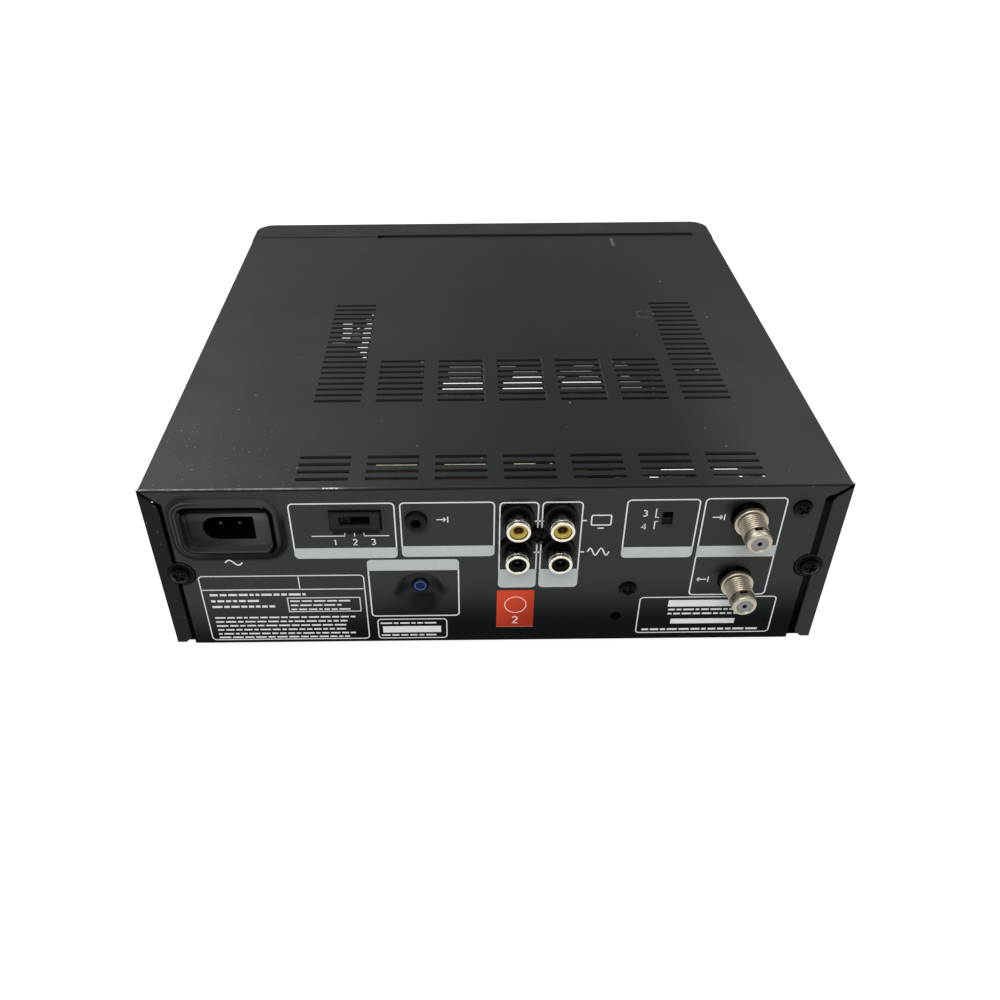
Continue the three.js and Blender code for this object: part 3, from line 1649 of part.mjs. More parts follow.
// Assembly
piece("top_cover", coverShape(), "coverPaint");
piece("rear_panel", panelShape(), "panelPaint");
piece("base_pan", panShape(), "zincSteel");
piece("front_bezel", bezelShape(), "bezelPlastic");
piece("display_window", paneShape(), "smokedWindow");
["foot_rear_left", "foot_front_left", "foot_rear_right", "foot_front_right"].forEach((name, i) => {
  piece(name, footShape(...footPlaces[i]), "rubber");
});
piece("ac_inlet", inletShape(), "blackPlastic");
piece("mode_switch", modeSwitchShape(), "blackPlastic");
piece("mode_slider", modeKnobShape(), "blackPlastic");
piece("control_s_jack", controlSShape(), "blackPlastic");
piece("control_l_jack", controlLShape(), "blueRing");
piece("phono_block", phonoBlockShape(), "blackPlastic");
const shellNames = ["audio_in_shell", "video_in_shell", "audio_out_shell", "video_out_shell"];
shellNames.forEach((name, i) => {
  piece(name, phonoShellShape(...phonoPlaces[i]), "nickel");
});
piece("tuner_can", tunerShape(), "zincSteel");
piece("channel_slider", channelKnobShape(), "blackPlastic");
piece("antenna_in_connector", coaxShape(coaxZ[0]), "nickel");
piece("antenna_out_connector", coaxShape(coaxZ[1]), "nickel");
piece("cover_screw_left", screwShape(...lobePlaces[0]), "blackScrew");
piece("cover_screw_right", screwShape(...lobePlaces[1]), "blackScrew");
panelScrews.forEach(([name, x, z]) => piece(name, screwShape(x, z), "blackScrew"));

piece("mech_chassis", deckShape(), "zincSteel");
piece("carriage_frame", frameShape(), "zincSteel");
piece("carriage_slider", sliderShape(), "zincSteel");
piece("cassette_holder", holderShape(), "zincSteel");
piece("lower_drum", lowerDrumShape(), "drumAlloy");
const drumAxis = new THREE.Group();
drumAxis.position.set(deck.x, drum.y, drum.pivotZ);
drumAxis.rotation.x = -drum.tilt;
machine.add(drumAxis);
piece("upper_drum", upperDrumShape(), "drumAlloy", drumAxis);
piece("capstan_flywheel", capstanShape(), "drumAlloy");
piece("pinch_arm", pinchArmShape(), "zincSteel");
const rollerProfile = [
  [pinch.bore, pinch.rollerLow],
  [pinch.roller, pinch.rollerLow],
  [pinch.roller, pinch.rollerHigh],
  [pinch.bore, pinch.rollerHigh],
  [pinch.bore, pinch.rollerLow],
];
piece("pinch_roller", turned(rollerX, rollerY, rollerProfile), "rubber");
piece("supply_reel", reelShape(deckX(-reel.x)), "whiteResin");
piece("takeup_reel", reelShape(deckX(reel.x)), "whiteResin");
piece("idler_wheel", idlerShape(), "whiteResin");
piece("supply_guide", guideShape(-1), "drumAlloy");
piece("takeup_guide", guideShape(1), "drumAlloy");
piece("loading_motor", motorShape(), "coil");
piece("motor_pinion", pinionShape(), "whiteResin");
piece("loading_gear", loadingGearShape(), "whiteResin");

piece("main_board", mainBoardShape(), "boardGreen");
piece("power_board", powerBoardShape(), "boardTan");
piece("power_transformer", transformerShape(), "coil");
piece("jack_board", jackBoardShape(), "boardTan");
piece("signal_shield", shieldShape(), "zincSteel");
piece("front_board", frontBoardShape(), "boardGreen");
piece("cassette_flap", flapShape(), "bezelPlastic");
allKeys.forEach((place) => piece(place[0], keyShape(place), "keyPlastic"));

// The front turns to -Y, and the middle of the whole depth comes to the origin.
const frontTip = faceY + key.proud;
machine.rotation.z = Math.PI;
machine.position.y = half(frontTip - coax.reach);

const group = new THREE.Group();
group.add(machine);
export default group;
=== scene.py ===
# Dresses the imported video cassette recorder: its paint and prints, sockets, screws and what shows through
# the louvres. Places are given as seen from behind, in millimetres: x runs to the right, y forward from
# the rear face and z up from the floor.
import math
import random

import bmesh
import bpy
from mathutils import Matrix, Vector


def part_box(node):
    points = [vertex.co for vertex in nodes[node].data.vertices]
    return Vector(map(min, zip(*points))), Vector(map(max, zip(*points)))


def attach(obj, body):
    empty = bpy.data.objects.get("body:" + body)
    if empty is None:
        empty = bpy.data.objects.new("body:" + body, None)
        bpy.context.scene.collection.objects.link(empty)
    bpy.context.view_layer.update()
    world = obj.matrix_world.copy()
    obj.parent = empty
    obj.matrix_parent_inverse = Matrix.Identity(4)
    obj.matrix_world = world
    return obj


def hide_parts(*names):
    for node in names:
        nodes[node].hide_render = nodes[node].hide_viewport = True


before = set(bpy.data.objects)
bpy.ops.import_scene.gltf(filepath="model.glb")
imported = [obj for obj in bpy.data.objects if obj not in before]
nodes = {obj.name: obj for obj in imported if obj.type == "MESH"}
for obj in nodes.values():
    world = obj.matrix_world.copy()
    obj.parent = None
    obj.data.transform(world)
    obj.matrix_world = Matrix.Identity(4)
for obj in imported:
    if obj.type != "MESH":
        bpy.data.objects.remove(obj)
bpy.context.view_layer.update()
scene = bpy.context.scene
scene.view_settings.view_transform = "Standard"

# Where the rear face lies in the row frame, and the height of the feet
REAR = 118.35
FOOT = 5.0
WHITE = (1.0, 1.0, 1.0, 1.0)


def place(x, y, z):
    return Vector((-x, REAR - y, z)) / 1000


# Camera at the photograph's angle
def add_camera():
    data = bpy.data.cameras.new("camera")
    data.sensor_width = 36
    data.lens = 33.05
    data.shift_x = 0.0308
    data.shift_y = 0.0076
    data.clip_start = 0.01
    camera = bpy.data.objects.new("camera", data)
    camera.location = (0.01061, 0.37679, 0.27214)
    camera.rotation_euler = [math.radians(a) for a in (52.259, 0.324, 179.489)]
    scene.collection.objects.link(camera)
    scene.camera = camera


add_camera()


# Materials, kept by name as they are built
MATERIALS = {}


def add(tree, kind, inputs=None, **settings):
    node = tree.nodes.new(kind)
    for key, value in settings.items():
        setattr(node, key, value)
    for key, value in (inputs or {}).items():
        if isinstance(value, bpy.types.NodeSocket):
            tree.links.new(value, node.inputs[key])
        else:
            node.inputs[key].default_value = value
    return node


def where(tree):
    return add(tree, "ShaderNodeTexCoord").outputs["Object"]


def noise(tree, scale, detail=3.0, vector=None, rough=0.55):
    inputs = {"Vector": vector or where(tree), "Scale": scale, "Detail": detail, "Roughness": rough}
    return add(tree, "ShaderNodeTexNoise", inputs).outputs["Fac"]


def ramp(tree, value, low, high, to_low=0.0, to_high=1.0, smooth=True):
    inputs = {"Value": value, "From Min": low, "From Max": high, "To Min": to_low, "To Max": to_high}
    kind = "SMOOTHSTEP" if smooth else "LINEAR"
    return add(tree, "ShaderNodeMapRange", inputs, interpolation_type=kind).outputs["Result"]


def calc(tree, operation, a, b=0.0):
    return add(tree, "ShaderNodeMath", {0: a, 1: b}, operation=operation).outputs[0]


def blend(tree, factor, a, b):
    return add(tree, "ShaderNodeMix", {0: factor, 6: a, 7: b}, data_type="RGBA").outputs[2]


def shade(colour, factor):
    return tuple(min(1.0, c * factor) for c in colour[:3]) + (1.0,)


def axes(tree):
    split = add(tree, "ShaderNodeSeparateXYZ", {"Vector": where(tree)})
    return split.outputs["X"], split.outputs["Y"], split.outputs["Z"]


def within(tree, value, low, high, soft):
    rise = ramp(tree, value, low - soft, low + soft)
    fall = ramp(tree, value, high - soft, high + soft, 1.0, 0.0)
    return calc(tree, "MULTIPLY", rise, fall)


def dust(tree, scale, size, share):
    """Small round specks: one in some cells of a Voronoi pattern."""
    cells = add(tree, "ShaderNodeTexVoronoi", {"Vector": where(tree), "Scale": scale})
    near = ramp(tree, cells.outputs["Distance"], size * 0.5, size, 1.0, 0.0)
    pick = add(tree, "ShaderNodeSeparateColor", {"Color": cells.outputs["Color"]}).outputs[0]
    chosen = ramp(tree, pick, 1.0 - share, 1.0 - share + 0.02)
    return calc(tree, "MULTIPLY", near, chosen)


def surface(
    name, colour, roughness, metallic=0.0, tone=0.1, tone_scale=25.0, grain=0.03, grain_scale=1500.0,
    rough_change=0.06, specular=0.5, specks=0.0, coat=0.0,
):
    """A finish with slow colour change, uneven gloss, a fine grain and a few dust specks."""
    material = bpy.data.materials.new(name)
    material.use_nodes = True
    tree = material.node_tree
    shader = tree.nodes["Principled BSDF"]
    shader.inputs["Metallic"].default_value = metallic
    shader.inputs["Specular IOR Level"].default_value = specular
    shader.inputs["Coat Weight"].default_value = coat
    slow = noise(tree, tone_scale)
    base = blend(tree, slow, shade(colour, 1 - tone), shade(colour, 1 + tone))
    uneven = noise(tree, tone_scale * 3)
    gloss = ramp(tree, uneven, 0.3, 0.7, roughness - rough_change, roughness + rough_change)
    if specks:
        spots = dust(tree, 260.0, 0.11, specks)
        base = blend(tree, spots, base, shade(colour, 4.0))
    tree.links.new(base, shader.inputs["Base Color"])
    tree.links.new(gloss, shader.inputs["Roughness"])
    if grain:
        height = noise(tree, grain_scale, 2.0)
        bump = add(tree, "ShaderNodeBump", {"Height": height, "Strength": grain, "Distance": 0.0002})
        tree.links.new(bump.outputs["Normal"], shader.inputs["Normal"])
    MATERIALS[name] = material
    return material


def distance(tree, side, rise):
    squares = [calc(tree, "POWER", value, 2.0) for value in (side, rise)]
    return calc(tree, "SQRT", calc(tree, "ADD", *squares))


class Paint:
    """A finish whose colour is covered step by step through masks.

    Places are metres of the row frame: across grows to the left as seen from behind, along towards the rear.
    """

    def __init__(self, *values, **named):
        self.tree = surface(*values, **named).node_tree
        self.shader = self.tree.nodes["Principled BSDF"]
        self.base = self.shader.inputs["Base Color"].links[0].from_socket
        self.across, self.along, self.up = axes(self.tree)

    def ramp(self, *values, **named):
        return ramp(self.tree, *values, **named)

    def within(self, *values):
        return within(self.tree, *values)

    def noise(self, *values):
        return noise(self.tree, *values)

    def plus(self, a, b):
        return calc(self.tree, "ADD", a, b)

    def minus(self, a, b):
        return calc(self.tree, "SUBTRACT", a, b)

    def size(self, a):
        return calc(self.tree, "ABSOLUTE", a)

    def times(self, first, *others):
        for other in others:
            first = calc(self.tree, "MULTIPLY", first, other)
        return first

    def most(self, first, *others):
        for other in others:
            first = calc(self.tree, "MAXIMUM", first, other)
        return first

    def cover(self, mask, colour, share=None):
        mask = mask if share is None else self.times(mask, share)
        self.base = blend(self.tree, mask, self.base, (*colour, 1))

    def link(self, value, socket):
        self.tree.links.new(value, self.shader.inputs[socket])

    def done(self):
        self.link(self.base, "Base Color")


# Cover paint
COVER_TOP = 81.3 / 1000
SLOT_ENDS = (0.00281, -0.0219, -0.04661)


def add_sheen_and_dust(p):
    """Pale film of painted sheen mixed with dust, thicker towards the rear and towards both sides."""
    rearward = p.ramp(p.along, -0.12, 0.11, smooth=False)
    leftward = p.ramp(p.across, -0.02, 0.115, smooth=False)
    left = p.times(leftward, p.ramp(rearward, 0.0, 1.0, 0.2, 0.75, smooth=False))
    right = p.times(p.ramp(p.across, -0.06, -0.105), p.ramp(rearward, 0.0, 1.0, 0.05, 0.6))
    cloudy = p.ramp(p.noise(30.0, 2.0), 0.3, 0.7, 0.85, 1.15)
    # Painted sheen with dust: a pale film over the left rear and the right side
    p.cover(p.times(p.plus(left, right), cloudy), (0.04, 0.0415, 0.0405))


def add_fold_shade_and_glints(p):
    """Left flange darker as painted shade, a painted shadow line under the rear fold, a painted highlight line
    on the left fold, and painted glints at slot ends.
    """
    # Painted shade: the left flange darker than the right
    flange = p.times(p.ramp(p.across, 0.118, 0.1185), p.ramp(p.along, 0.1178, 0.1182))
    flange = p.times(flange, p.ramp(p.up, COVER_TOP - 0.0012, COVER_TOP - 0.0006, 1.0, 0.0))
    p.cover(flange, (0.0085, 0.0095, 0.0095))
    # Painted shadow: a dark line under the rear fold
    fold_shadow = p.within(p.up, COVER_TOP - 0.0011, COVER_TOP - 0.0006, 0.0001)
    p.cover(p.times(p.ramp(p.along, 0.1179, 0.11825), fold_shadow), (0.001, 0.0012, 0.0012), 0.7)
    # Painted highlight: a pale line along the left fold
    fold_highlight = p.ramp(p.up, COVER_TOP - 0.0008, COVER_TOP - 0.0004)
    p.cover(p.times(p.ramp(p.across, 0.12565, 0.12595), fold_highlight), (0.15, 0.15, 0.145), 0.7)
    # Painted glints: pale marks at the right ends of some slots
    rows = p.within(p.along, 0.0262, 0.0612, 0.0003)
    ends = p.most(*[p.within(p.across, x - 0.00045, x - 0.00005, 0.00012) for x in SLOT_ENDS])
    p.cover(p.times(ends, rows, p.ramp(p.noise(900.0), 0.46, 0.62)), (0.14, 0.145, 0.14), 0.5)


def smears(p):
    """A loop and a short streak of dried wiping on the front half of the top."""
    side = p.times(p.plus(p.across, 0.0735), 0.9)
    loop = p.within(distance(p.tree, side, p.plus(p.along, 0.01565)), 0.0034, 0.0039, 0.0003)
    broken = p.ramp(p.noise(330.0), 0.42, 0.58)
    streak = p.times(p.within(p.across, -0.0707, -0.0691, 0.0005), p.within(p.along, -0.1088, -0.0977, 0.002))
    return p.most(p.times(loop, broken), streak)


def add_dirt(p):
    """Specks, most of them near the rear left corner, and fine scratches and smears."""
    tree = p.tree
    near_corner = p.times(p.ramp(p.across, 0.04, 0.115), p.ramp(p.along, 0.03, 0.11))
    fine = p.most(dust(tree, 330.0, 0.13, 0.3), dust(tree, 620.0, 0.2, 0.16))
    p.cover(p.most(p.times(fine, near_corner), dust(tree, 210.0, 0.09, 0.04)), (0.16, 0.16, 0.155))
    p.cover(dust(tree, 70.0, 0.045, 0.2), (0.13, 0.13, 0.125))
    turned = {"Vector": where(tree), "Scale": (1.0, 9.0, 1.0), "Rotation": (0.0, 0.0, 0.7)}
    stretched = add(tree, "ShaderNodeMapping", turned).outputs["Vector"]
    p.cover(p.ramp(p.noise(160.0, 8.0, stretched, 0.7), 0.735, 0.76), (0.08, 0.08, 0.08), 0.6)
    p.cover(smears(p), (0.13, 0.13, 0.127), 0.5)


def add_worn_edge(p):
    """Rear edge paler along the left, with chips down to bare metal in one place and at the corners."""
    edge = p.times(
        p.within(p.along, 0.11808, 0.1185, 0.00008), p.ramp(p.up, COVER_TOP - 0.00055, COVER_TOP - 0.00025)
    )
    uneven = p.ramp(p.noise(260.0, 4.0), 0.36, 0.6, 0.45, 1.0)
    p.cover(p.times(edge, uneven, p.ramp(p.across, 0.035, 0.075, 0.05, 1.0)), (0.33, 0.33, 0.32), 0.75)
    places = p.most(p.within(p.across, 0.0545, 0.0635, 0.0012), p.ramp(p.size(p.across), 0.1236, 0.1257))
    chips = p.times(edge, p.ramp(p.noise(1100.0, 5.0), 0.5, 0.54), places)
    p.cover(chips, (0.62, 0.61, 0.58))
    p.link(p.times(chips, 0.9), "Metallic")


def painted_cover():
    """Satin black paint with dust, fine scratches and chips, with painted sheen, painted shade on the left
    flange, a painted shadow and a painted highlight along the folds, and painted glints at slot ends.
    """
    looks = {"tone": 0.08, "grain": 0.05, "rough_change": 0.015, "specular": 0.06}
    p = Paint("cover_paint", (0.0118, 0.0145, 0.0144), 0.4, **looks)
    for step in (add_sheen_and_dust, add_fold_shade_and_glints, add_dirt, add_worn_edge):
        step(p)
    p.done()


# Soft shadows on the panel: across, up, size and share
SOFT_SHADOWS = (
    (-0.0887, 0.0708, 0.0074, 0.96),
    (-0.0890, 0.0408, 0.0072, 0.96),
    (-0.0080, 0.0722, 0.0062, 0.8),
    (-0.0237, 0.0722, 0.0062, 0.8),
    (0.0348, 0.0310, 0.0046, 0.7),
    (0.0215, 0.0320, 0.0048, 0.7),
    (0.0270, 0.0245, 0.0062, 0.8),
)


def add_rim_shading(p):
    """Painted shadows to the lower right of and below the inlet, a painted highlight along the bottom edge of
    its opening, painted highlight lines on its left with painted shade between them, and a darker left side,
    all by the distance from a rounded core. Gives the painted black shadows at the top and right edges of the
    opening back.
    """
    right, down = p.minus(0.0972, p.across), p.minus(0.0638, p.up)
    wide, tall = (p.most(p.minus(p.size(way), half), 0.0) for way, half in ((right, 0.0123), (down, 0.00605)))
    reach = distance(p.tree, wide, tall)
    # Painted shadow to the lower right of the rim
    lee_shadow = p.ramp(p.plus(p.times(right, 0.45), down), 0.001, 0.007)
    p.cover(p.times(p.within(reach, 0.0071, 0.0092, 0.0007), lee_shadow), (0.0025, 0.003, 0.003), 0.92)
    # Painted shadow below the rim
    below = p.times(p.within(reach, 0.0041, 0.0084, 0.0003), p.ramp(down, 0.004, 0.009))
    p.cover(below, (0.004, 0.005, 0.005), 0.97)
    # Darker on the left side of the inlet
    left_of_inlet = p.ramp(p.times(right, -1.0), 0.006, 0.014)
    p.cover(p.times(p.within(reach, 0.0032, 0.0086, 0.0005), left_of_inlet), (0.011, 0.0125, 0.0125), 0.7)
    # Painted highlight: a pale line along the bottom edge of the opening
    sill_highlight = p.times(p.within(reach, 0.00362, 0.0039, 0.0001), p.ramp(down, 0.0088, 0.0092))
    p.cover(sill_highlight, (0.085, 0.09, 0.09), 0.6)
    # Painted highlights: pale lines on the left of the rim, with painted shade between them
    lines = p.most(p.within(reach, 0.0049, 0.0052, 0.00015), p.within(reach, 0.0063, 0.0066, 0.00015))
    p.cover(p.times(lines, left_of_inlet), (0.085, 0.09, 0.09), 0.7)
    hollow_shade = p.most(p.within(reach, 0.0054, 0.0061, 0.0002), p.within(reach, 0.0038, 0.0046, 0.0002))
    p.cover(p.times(hollow_shade, left_of_inlet), (0.009, 0.011, 0.011), 0.75)
    # Painted shadows: black at the top and right edges of the opening
    top_lip_shadow = p.times(p.within(reach, 0.0026, 0.0046, 0.0002), p.ramp(down, -0.0078, -0.0088))
    right_lip_shadow = p.times(p.within(reach, 0.0039, 0.0055, 0.0002), p.ramp(right, 0.0142, 0.0152))
    lip_shadows = p.most(top_lip_shadow, right_lip_shadow)
    p.cover(lip_shadows, (0.0006, 0.0008, 0.0009))
    return lip_shadows


def painted_panel():
    """Flatter paint on the rear panel, duller and darker towards the foot as painted shade, with painted
    shadows round the inlet, under the switch and by the sockets, and painted black shade in its grooves and in
    the gap by the left flange.
    """
    p = Paint("panel_paint", (0.035, 0.0395, 0.0385), 0.5, grain=0.05, specular=0.05, specks=0.02)
    # Painted shade: darker towards the foot, reaching a little higher on the left
    leftward = p.ramp(p.across, 0.03, 0.085, 0.0, 0.01)
    low = p.ramp(p.plus(p.up, leftward), 0.013, 0.04, 1.0, 0.0)
    p.cover(low, (0.0026, 0.004, 0.0042))
    lip_shadows = add_rim_shading(p)
    # Painted shadow under the switch
    switch_shadow = p.times(p.within(p.across, 0.042, 0.059, 0.0006), p.within(p.up, 0.0603, 0.0643, 0.0005))
    p.cover(switch_shadow, (0.003, 0.0036, 0.0035), 0.85)
    for across, up, size, share in SOFT_SHADOWS:
        away = distance(p.tree, p.minus(p.across, across), p.times(p.minus(p.up, up), 1.5))
        p.cover(p.ramp(away, size * 0.4, size * 1.15, share, 0.0), (0.004, 0.0048, 0.0045))
    # Painted shade: black in the gap beside the left flange, below its top
    left_gap_shade = p.times(p.ramp(p.across, 0.1183, 0.1186), p.ramp(p.up, 0.0745, 0.0752, 1.0, 0.0))
    p.cover(left_gap_shade, (0.0006, 0.0008, 0.0009))
    # Painted shade: black where the panel lies back beside the flanges
    sunk = p.ramp(p.along, (REAR - 1.6) / 1000, (REAR - 0.5) / 1000, 1.0, 0.0)
    grooves = p.times(sunk, p.ramp(p.size(p.across), 0.1125, 0.1135))
    p.cover(grooves, (0.0004, 0.0005, 0.0006))
    matt = p.ramp(p.most(grooves, left_gap_shade, lip_shadows), 0.0, 1.0, 1.0, 0.05)
    p.link(p.times(p.ramp(low, 0.0, 1.0, 0.05, 0.025), matt), "Specular IOR Level")
    p.done()


# Finishes that change over one piece
def threaded_nickel():
    """Nickel that is dull and dark in the roots of the two threads as painted shade, by the distance from their
    axes.
    """
    p = Paint("threaded_nickel", (0.31, 0.275, 0.21), 0.42, 1.0, tone=0.1, tone_scale=70.0, grain=0.0)
    rise = p.minus(p.size(p.minus(p.up, 0.05075)), 0.01495)
    reach = distance(p.tree, p.plus(p.across, 0.0917), rise)
    # Painted shade in the thread roots
    p.cover(p.ramp(reach, 0.00424, 0.00466, 1.0, 0.0), (0.035, 0.028, 0.018))
    p.done()


def tuner_metal():
    """Zinc steel with painted shade: nearly black close to the rear panel, where holes show it."""
    p = Paint("tuner_metal", (0.52, 0.53, 0.53), 0.32, 0.95, tone=0.15, tone_scale=60.0, grain=0.04)
    # Painted shade inside the panel's holes
    p.cover(p.ramp(p.along, (REAR - 9.0) / 1000, (REAR - 7.5) / 1000), (0.004, 0.0045, 0.0045))
    p.done()


def inlet_face():
    """Black moulding whose shallow face is greyer to the right and above its hole, and left black under its lip
    as painted shadow.
    """
    p = Paint("inlet_plastic", (0.0012, 0.0016, 0.0018), 0.4, grain=0.03, specular=0.04)
    face = p.ramp(p.along, (REAR - 2.8) / 1000, (REAR - 2.6) / 1000)
    # The face stays black as painted shadow under the top lip
    share = p.times(face, p.ramp(p.up, 0.0684, 0.0687, 1.0, 0.0), p.ramp(p.across, 0.084, 0.110, 1.0, 0.35))
    p.cover(share, (0.055, 0.06, 0.061))
    p.cover(p.times(share, p.ramp(p.up, 0.064, 0.0675)), (0.13, 0.14, 0.142), 0.6)
    p.done()


def switch_frame():
    """Black moulding, nearly black below its slot and behind its raised front as painted shade."""
    p = Paint("switch_plastic", (0.015, 0.0175, 0.0175), 0.45, grain=0.03, specular=0.06)
    # Painted shade below the slot and behind the raised front
    low = p.ramp(p.up, 0.0645, 0.0653, 1.0, 0.0)
    shade_behind_front = p.ramp(p.along, (REAR + 1.2) / 1000, (REAR + 1.8) / 1000, 1.0, 0.0)
    p.cover(p.most(low, shade_behind_front), (0.0012, 0.0016, 0.0015))
    p.done()


def label_paper():
    """Glossy orange-red paper, darker towards its lower right corner."""
    p = Paint("label_red", (0.64, 0.064, 0.027), 0.45, tone=0.06, tone_scale=200.0, grain=0.02, specular=0.1)
    away = p.plus(p.times(p.across, -0.7), p.times(p.up, -1.0))
    p.cover(p.ramp(away, -0.030, -0.004, 0.0, 0.9), (0.29, 0.022, 0.006))
    p.done()


# Every finish of this scene
painted_cover()
painted_panel()
surface("bezel_plastic", (0.0145, 0.0155, 0.0148), 0.42, grain=0.08, specular=0.07)
surface("key_plastic", (0.045, 0.046, 0.046), 0.4, grain=0.06)
surface("black_plastic", (0.0045, 0.0052, 0.005), 0.34, grain=0.03, specular=0.1)
inlet_face()
tuner_metal()
switch_frame()
surface("slider_plastic", (0.003, 0.004, 0.004), 0.4, grain=0.02, specular=0.07)
# Cover paint made darker as painted shade for the lobes
surface("lobe_paint", (0.0028, 0.0034, 0.0032), 0.4, grain=0.03, specular=0.035)
surface("smoked_window", (0.004, 0.003, 0.003), 0.08, grain=0.0, rough_change=0.02, specular=0.3)
surface("zinc_steel", (0.52, 0.53, 0.53), 0.32, 0.95, tone=0.15, tone_scale=60.0, grain=0.04)
surface("nickel", (0.44, 0.40, 0.32), 0.42, 1.0, tone=0.1, tone_scale=70.0, grain=0.0, rough_change=0.02)
surface("dull_nickel", (0.10, 0.096, 0.086), 0.25, 1.0, tone=0.1, tone_scale=60.0, grain=0.0, rough_change=0.02)
threaded_nickel()
surface("alloy", (0.68, 0.69, 0.70), 0.2, 1.0, tone=0.06, grain=0.02)
surface("black_screw", (0.0012, 0.0014, 0.0015), 0.16, grain=0.0, rough_change=0.02, specular=0.07)
surface("rubber", (0.012, 0.012, 0.012), 0.85, grain=0.12, grain_scale=700.0)
surface("resin", (0.66, 0.64, 0.58), 0.45, tone=0.05, grain=0.03)
surface("board_green", (0.03, 0.11, 0.05), 0.5, tone=0.25, tone_scale=140.0, coat=0.3)
surface("board_tan", (0.33, 0.19, 0.075), 0.6, tone=0.2, tone_scale=180.0)
surface("motor_case", (0.30, 0.31, 0.32), 0.4, 0.7)
surface("blue_jack", (0.0015, 0.011, 0.07), 0.3, grain=0.0, specular=0.1)
surface("blue_bright", (0.07, 0.17, 0.42), 0.3, grain=0.0, specular=0.1)
surface("print_grey", (0.72, 0.75, 0.74), 0.6, tone=0.1, tone_scale=500.0, grain=0.0)
surface("print_band", (0.46, 0.50, 0.49), 0.6, tone=0.08, tone_scale=300.0, grain=0.0)
surface("yellow_core", (0.39, 0.28, 0.026), 0.3, grain=0.0, tone=0.1, tone_scale=300.0)
# The yellow core's colour in shade: painted shade inside the upper bores
surface("bore_brown", (0.055, 0.02, 0.0035), 0.4, grain=0.0, tone=0.3, tone_scale=400.0)
surface("bright_rim", (0.70, 0.67, 0.56), 0.24, 1.0, tone=0.1, tone_scale=500.0, grain=0.0)
# Black for painted shade: dark pieces set in seams, gaps and holes
surface("dark_well", (0.0004, 0.0005, 0.0005), 0.7, grain=0.0, specular=0.01)
surface("disc_grey", (0.20, 0.205, 0.20), 0.4, tone=0.2, tone_scale=900.0)
label_paper()
surface("label_edge", (0.50, 0.15, 0.09), 0.6, tone=0.2, tone_scale=700.0)
surface("label_print", (0.86, 0.62, 0.55), 0.6, grain=0.0)
# Painted glints: colours of what shows through the louvres
surface("glimpse_bright", (0.86, 0.86, 0.82), 0.4, grain=0.0, tone_scale=400.0)
surface("glimpse_grey", (0.14, 0.145, 0.14), 0.4, grain=0.0, tone=0.4, tone_scale=300.0)
surface("glimpse_tan", (0.36, 0.30, 0.19), 0.5, grain=0.0, tone=0.6, tone_scale=330.0)
surface("part_black", (0.004, 0.004, 0.0037), 0.4, tone=0.1, specular=0.04)


# Mesh helpers
def make(name, verts, faces, material, body="machine", angle=35.0):
    mesh = bpy.data.meshes.new(name)
    mesh.from_pydata([place(*v) for v in verts], [], faces)
    built = bmesh.new()
    built.from_mesh(mesh)
    bmesh.ops.remove_doubles(built, verts=built.verts, dist=1e-7)
    bmesh.ops.recalc_face_normals(built, faces=built.faces)
    built.to_mesh(mesh)
    built.free()
    for polygon in mesh.polygons:
        polygon.use_smooth = True
    mesh.set_sharp_from_angle(angle=math.radians(angle))
    mesh.materials.append(MATERIALS[material])
    obj = bpy.data.objects.new(name, mesh)
    scene.collection.objects.link(obj)
    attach(obj, body)
    return obj


def merged(parts):
    verts, faces = [], []
    for part_verts, part_faces in parts:
        start = len(verts)
        verts += part_verts
        faces += [tuple(i + start for i in face) for face in part_faces]
    return verts, faces


def fillet(points, radius, steps=4):
    """Rounds each inner corner of an open line of points."""
    rounded = [points[0]]
    for before, corner, after in zip(points, points[1:], points[2:]):
        a, b, c = Vector(before), Vector(corner), Vector(after)
        reach = min(radius, (a - b).length * 0.45, (c - b).length * 0.45)
        start = b + (a - b).normalized() * reach
        end = b + (c - b).normalized() * reach
        for i in range(steps + 1):
            t = i / steps
            rounded.append(tuple(start * (1 - t) ** 2 + b * 2 * t * (1 - t) + end * t * t))
    rounded.append(points[-1])
    return rounded


def revolve(profile, mapped, sides=48, ring=False):
    """Turns (radius, level) points; mapped gives the place of (radius, level, turn)."""
    verts, faces, rows = [], [], []
    for radius, level in profile:
        if radius < 1e-6:
            rows.append([len(verts)] * sides)
            verts.append(mapped(0.0, level, 0.0))
            continue
        rows.append(list(range(len(verts), len(verts) + sides)))
        verts += [mapped(radius, level, 2 * math.pi * i / sides) for i in range(sides)]
    pairs = list(zip(rows, rows[1:])) + ([(rows[-1], rows[0])] if ring else [])
    for low, high in pairs:
        for i in range(sides):
            j = (i + 1) % sides
            face = []
            for index in (low[i], low[j], high[j], high[i]):
                if index not in face:
                    face.append(index)
            if len(face) > 2:
                faces.append(tuple(face))
    return verts, faces


def ring_faces(rows, sides, start=0):
    """Faces between rows of points that each close on themselves."""
    faces = []
    for row in range(rows - 1):
        low = start + row * sides
        for i in range(sides):
            j = (i + 1) % sides
            faces.append((low + i, low + j, low + sides + j, low + sides + i))
    return faces


def middle(node):
    """Middle of a node's box as x and z, and the depths of its rear and front ends, all in this file's mm."""
    low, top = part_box(node)
    return -(low.x + top.x) * 500, (low.z + top.z) * 500, REAR - top.y * 1000, REAR - low.y * 1000


def facing_rear(x, z):
    """Places of (radius, depth, turn) round an axis that runs to the rear."""
    return lambda r, y, a: (x + r * math.cos(a), y, z + r * math.sin(a))


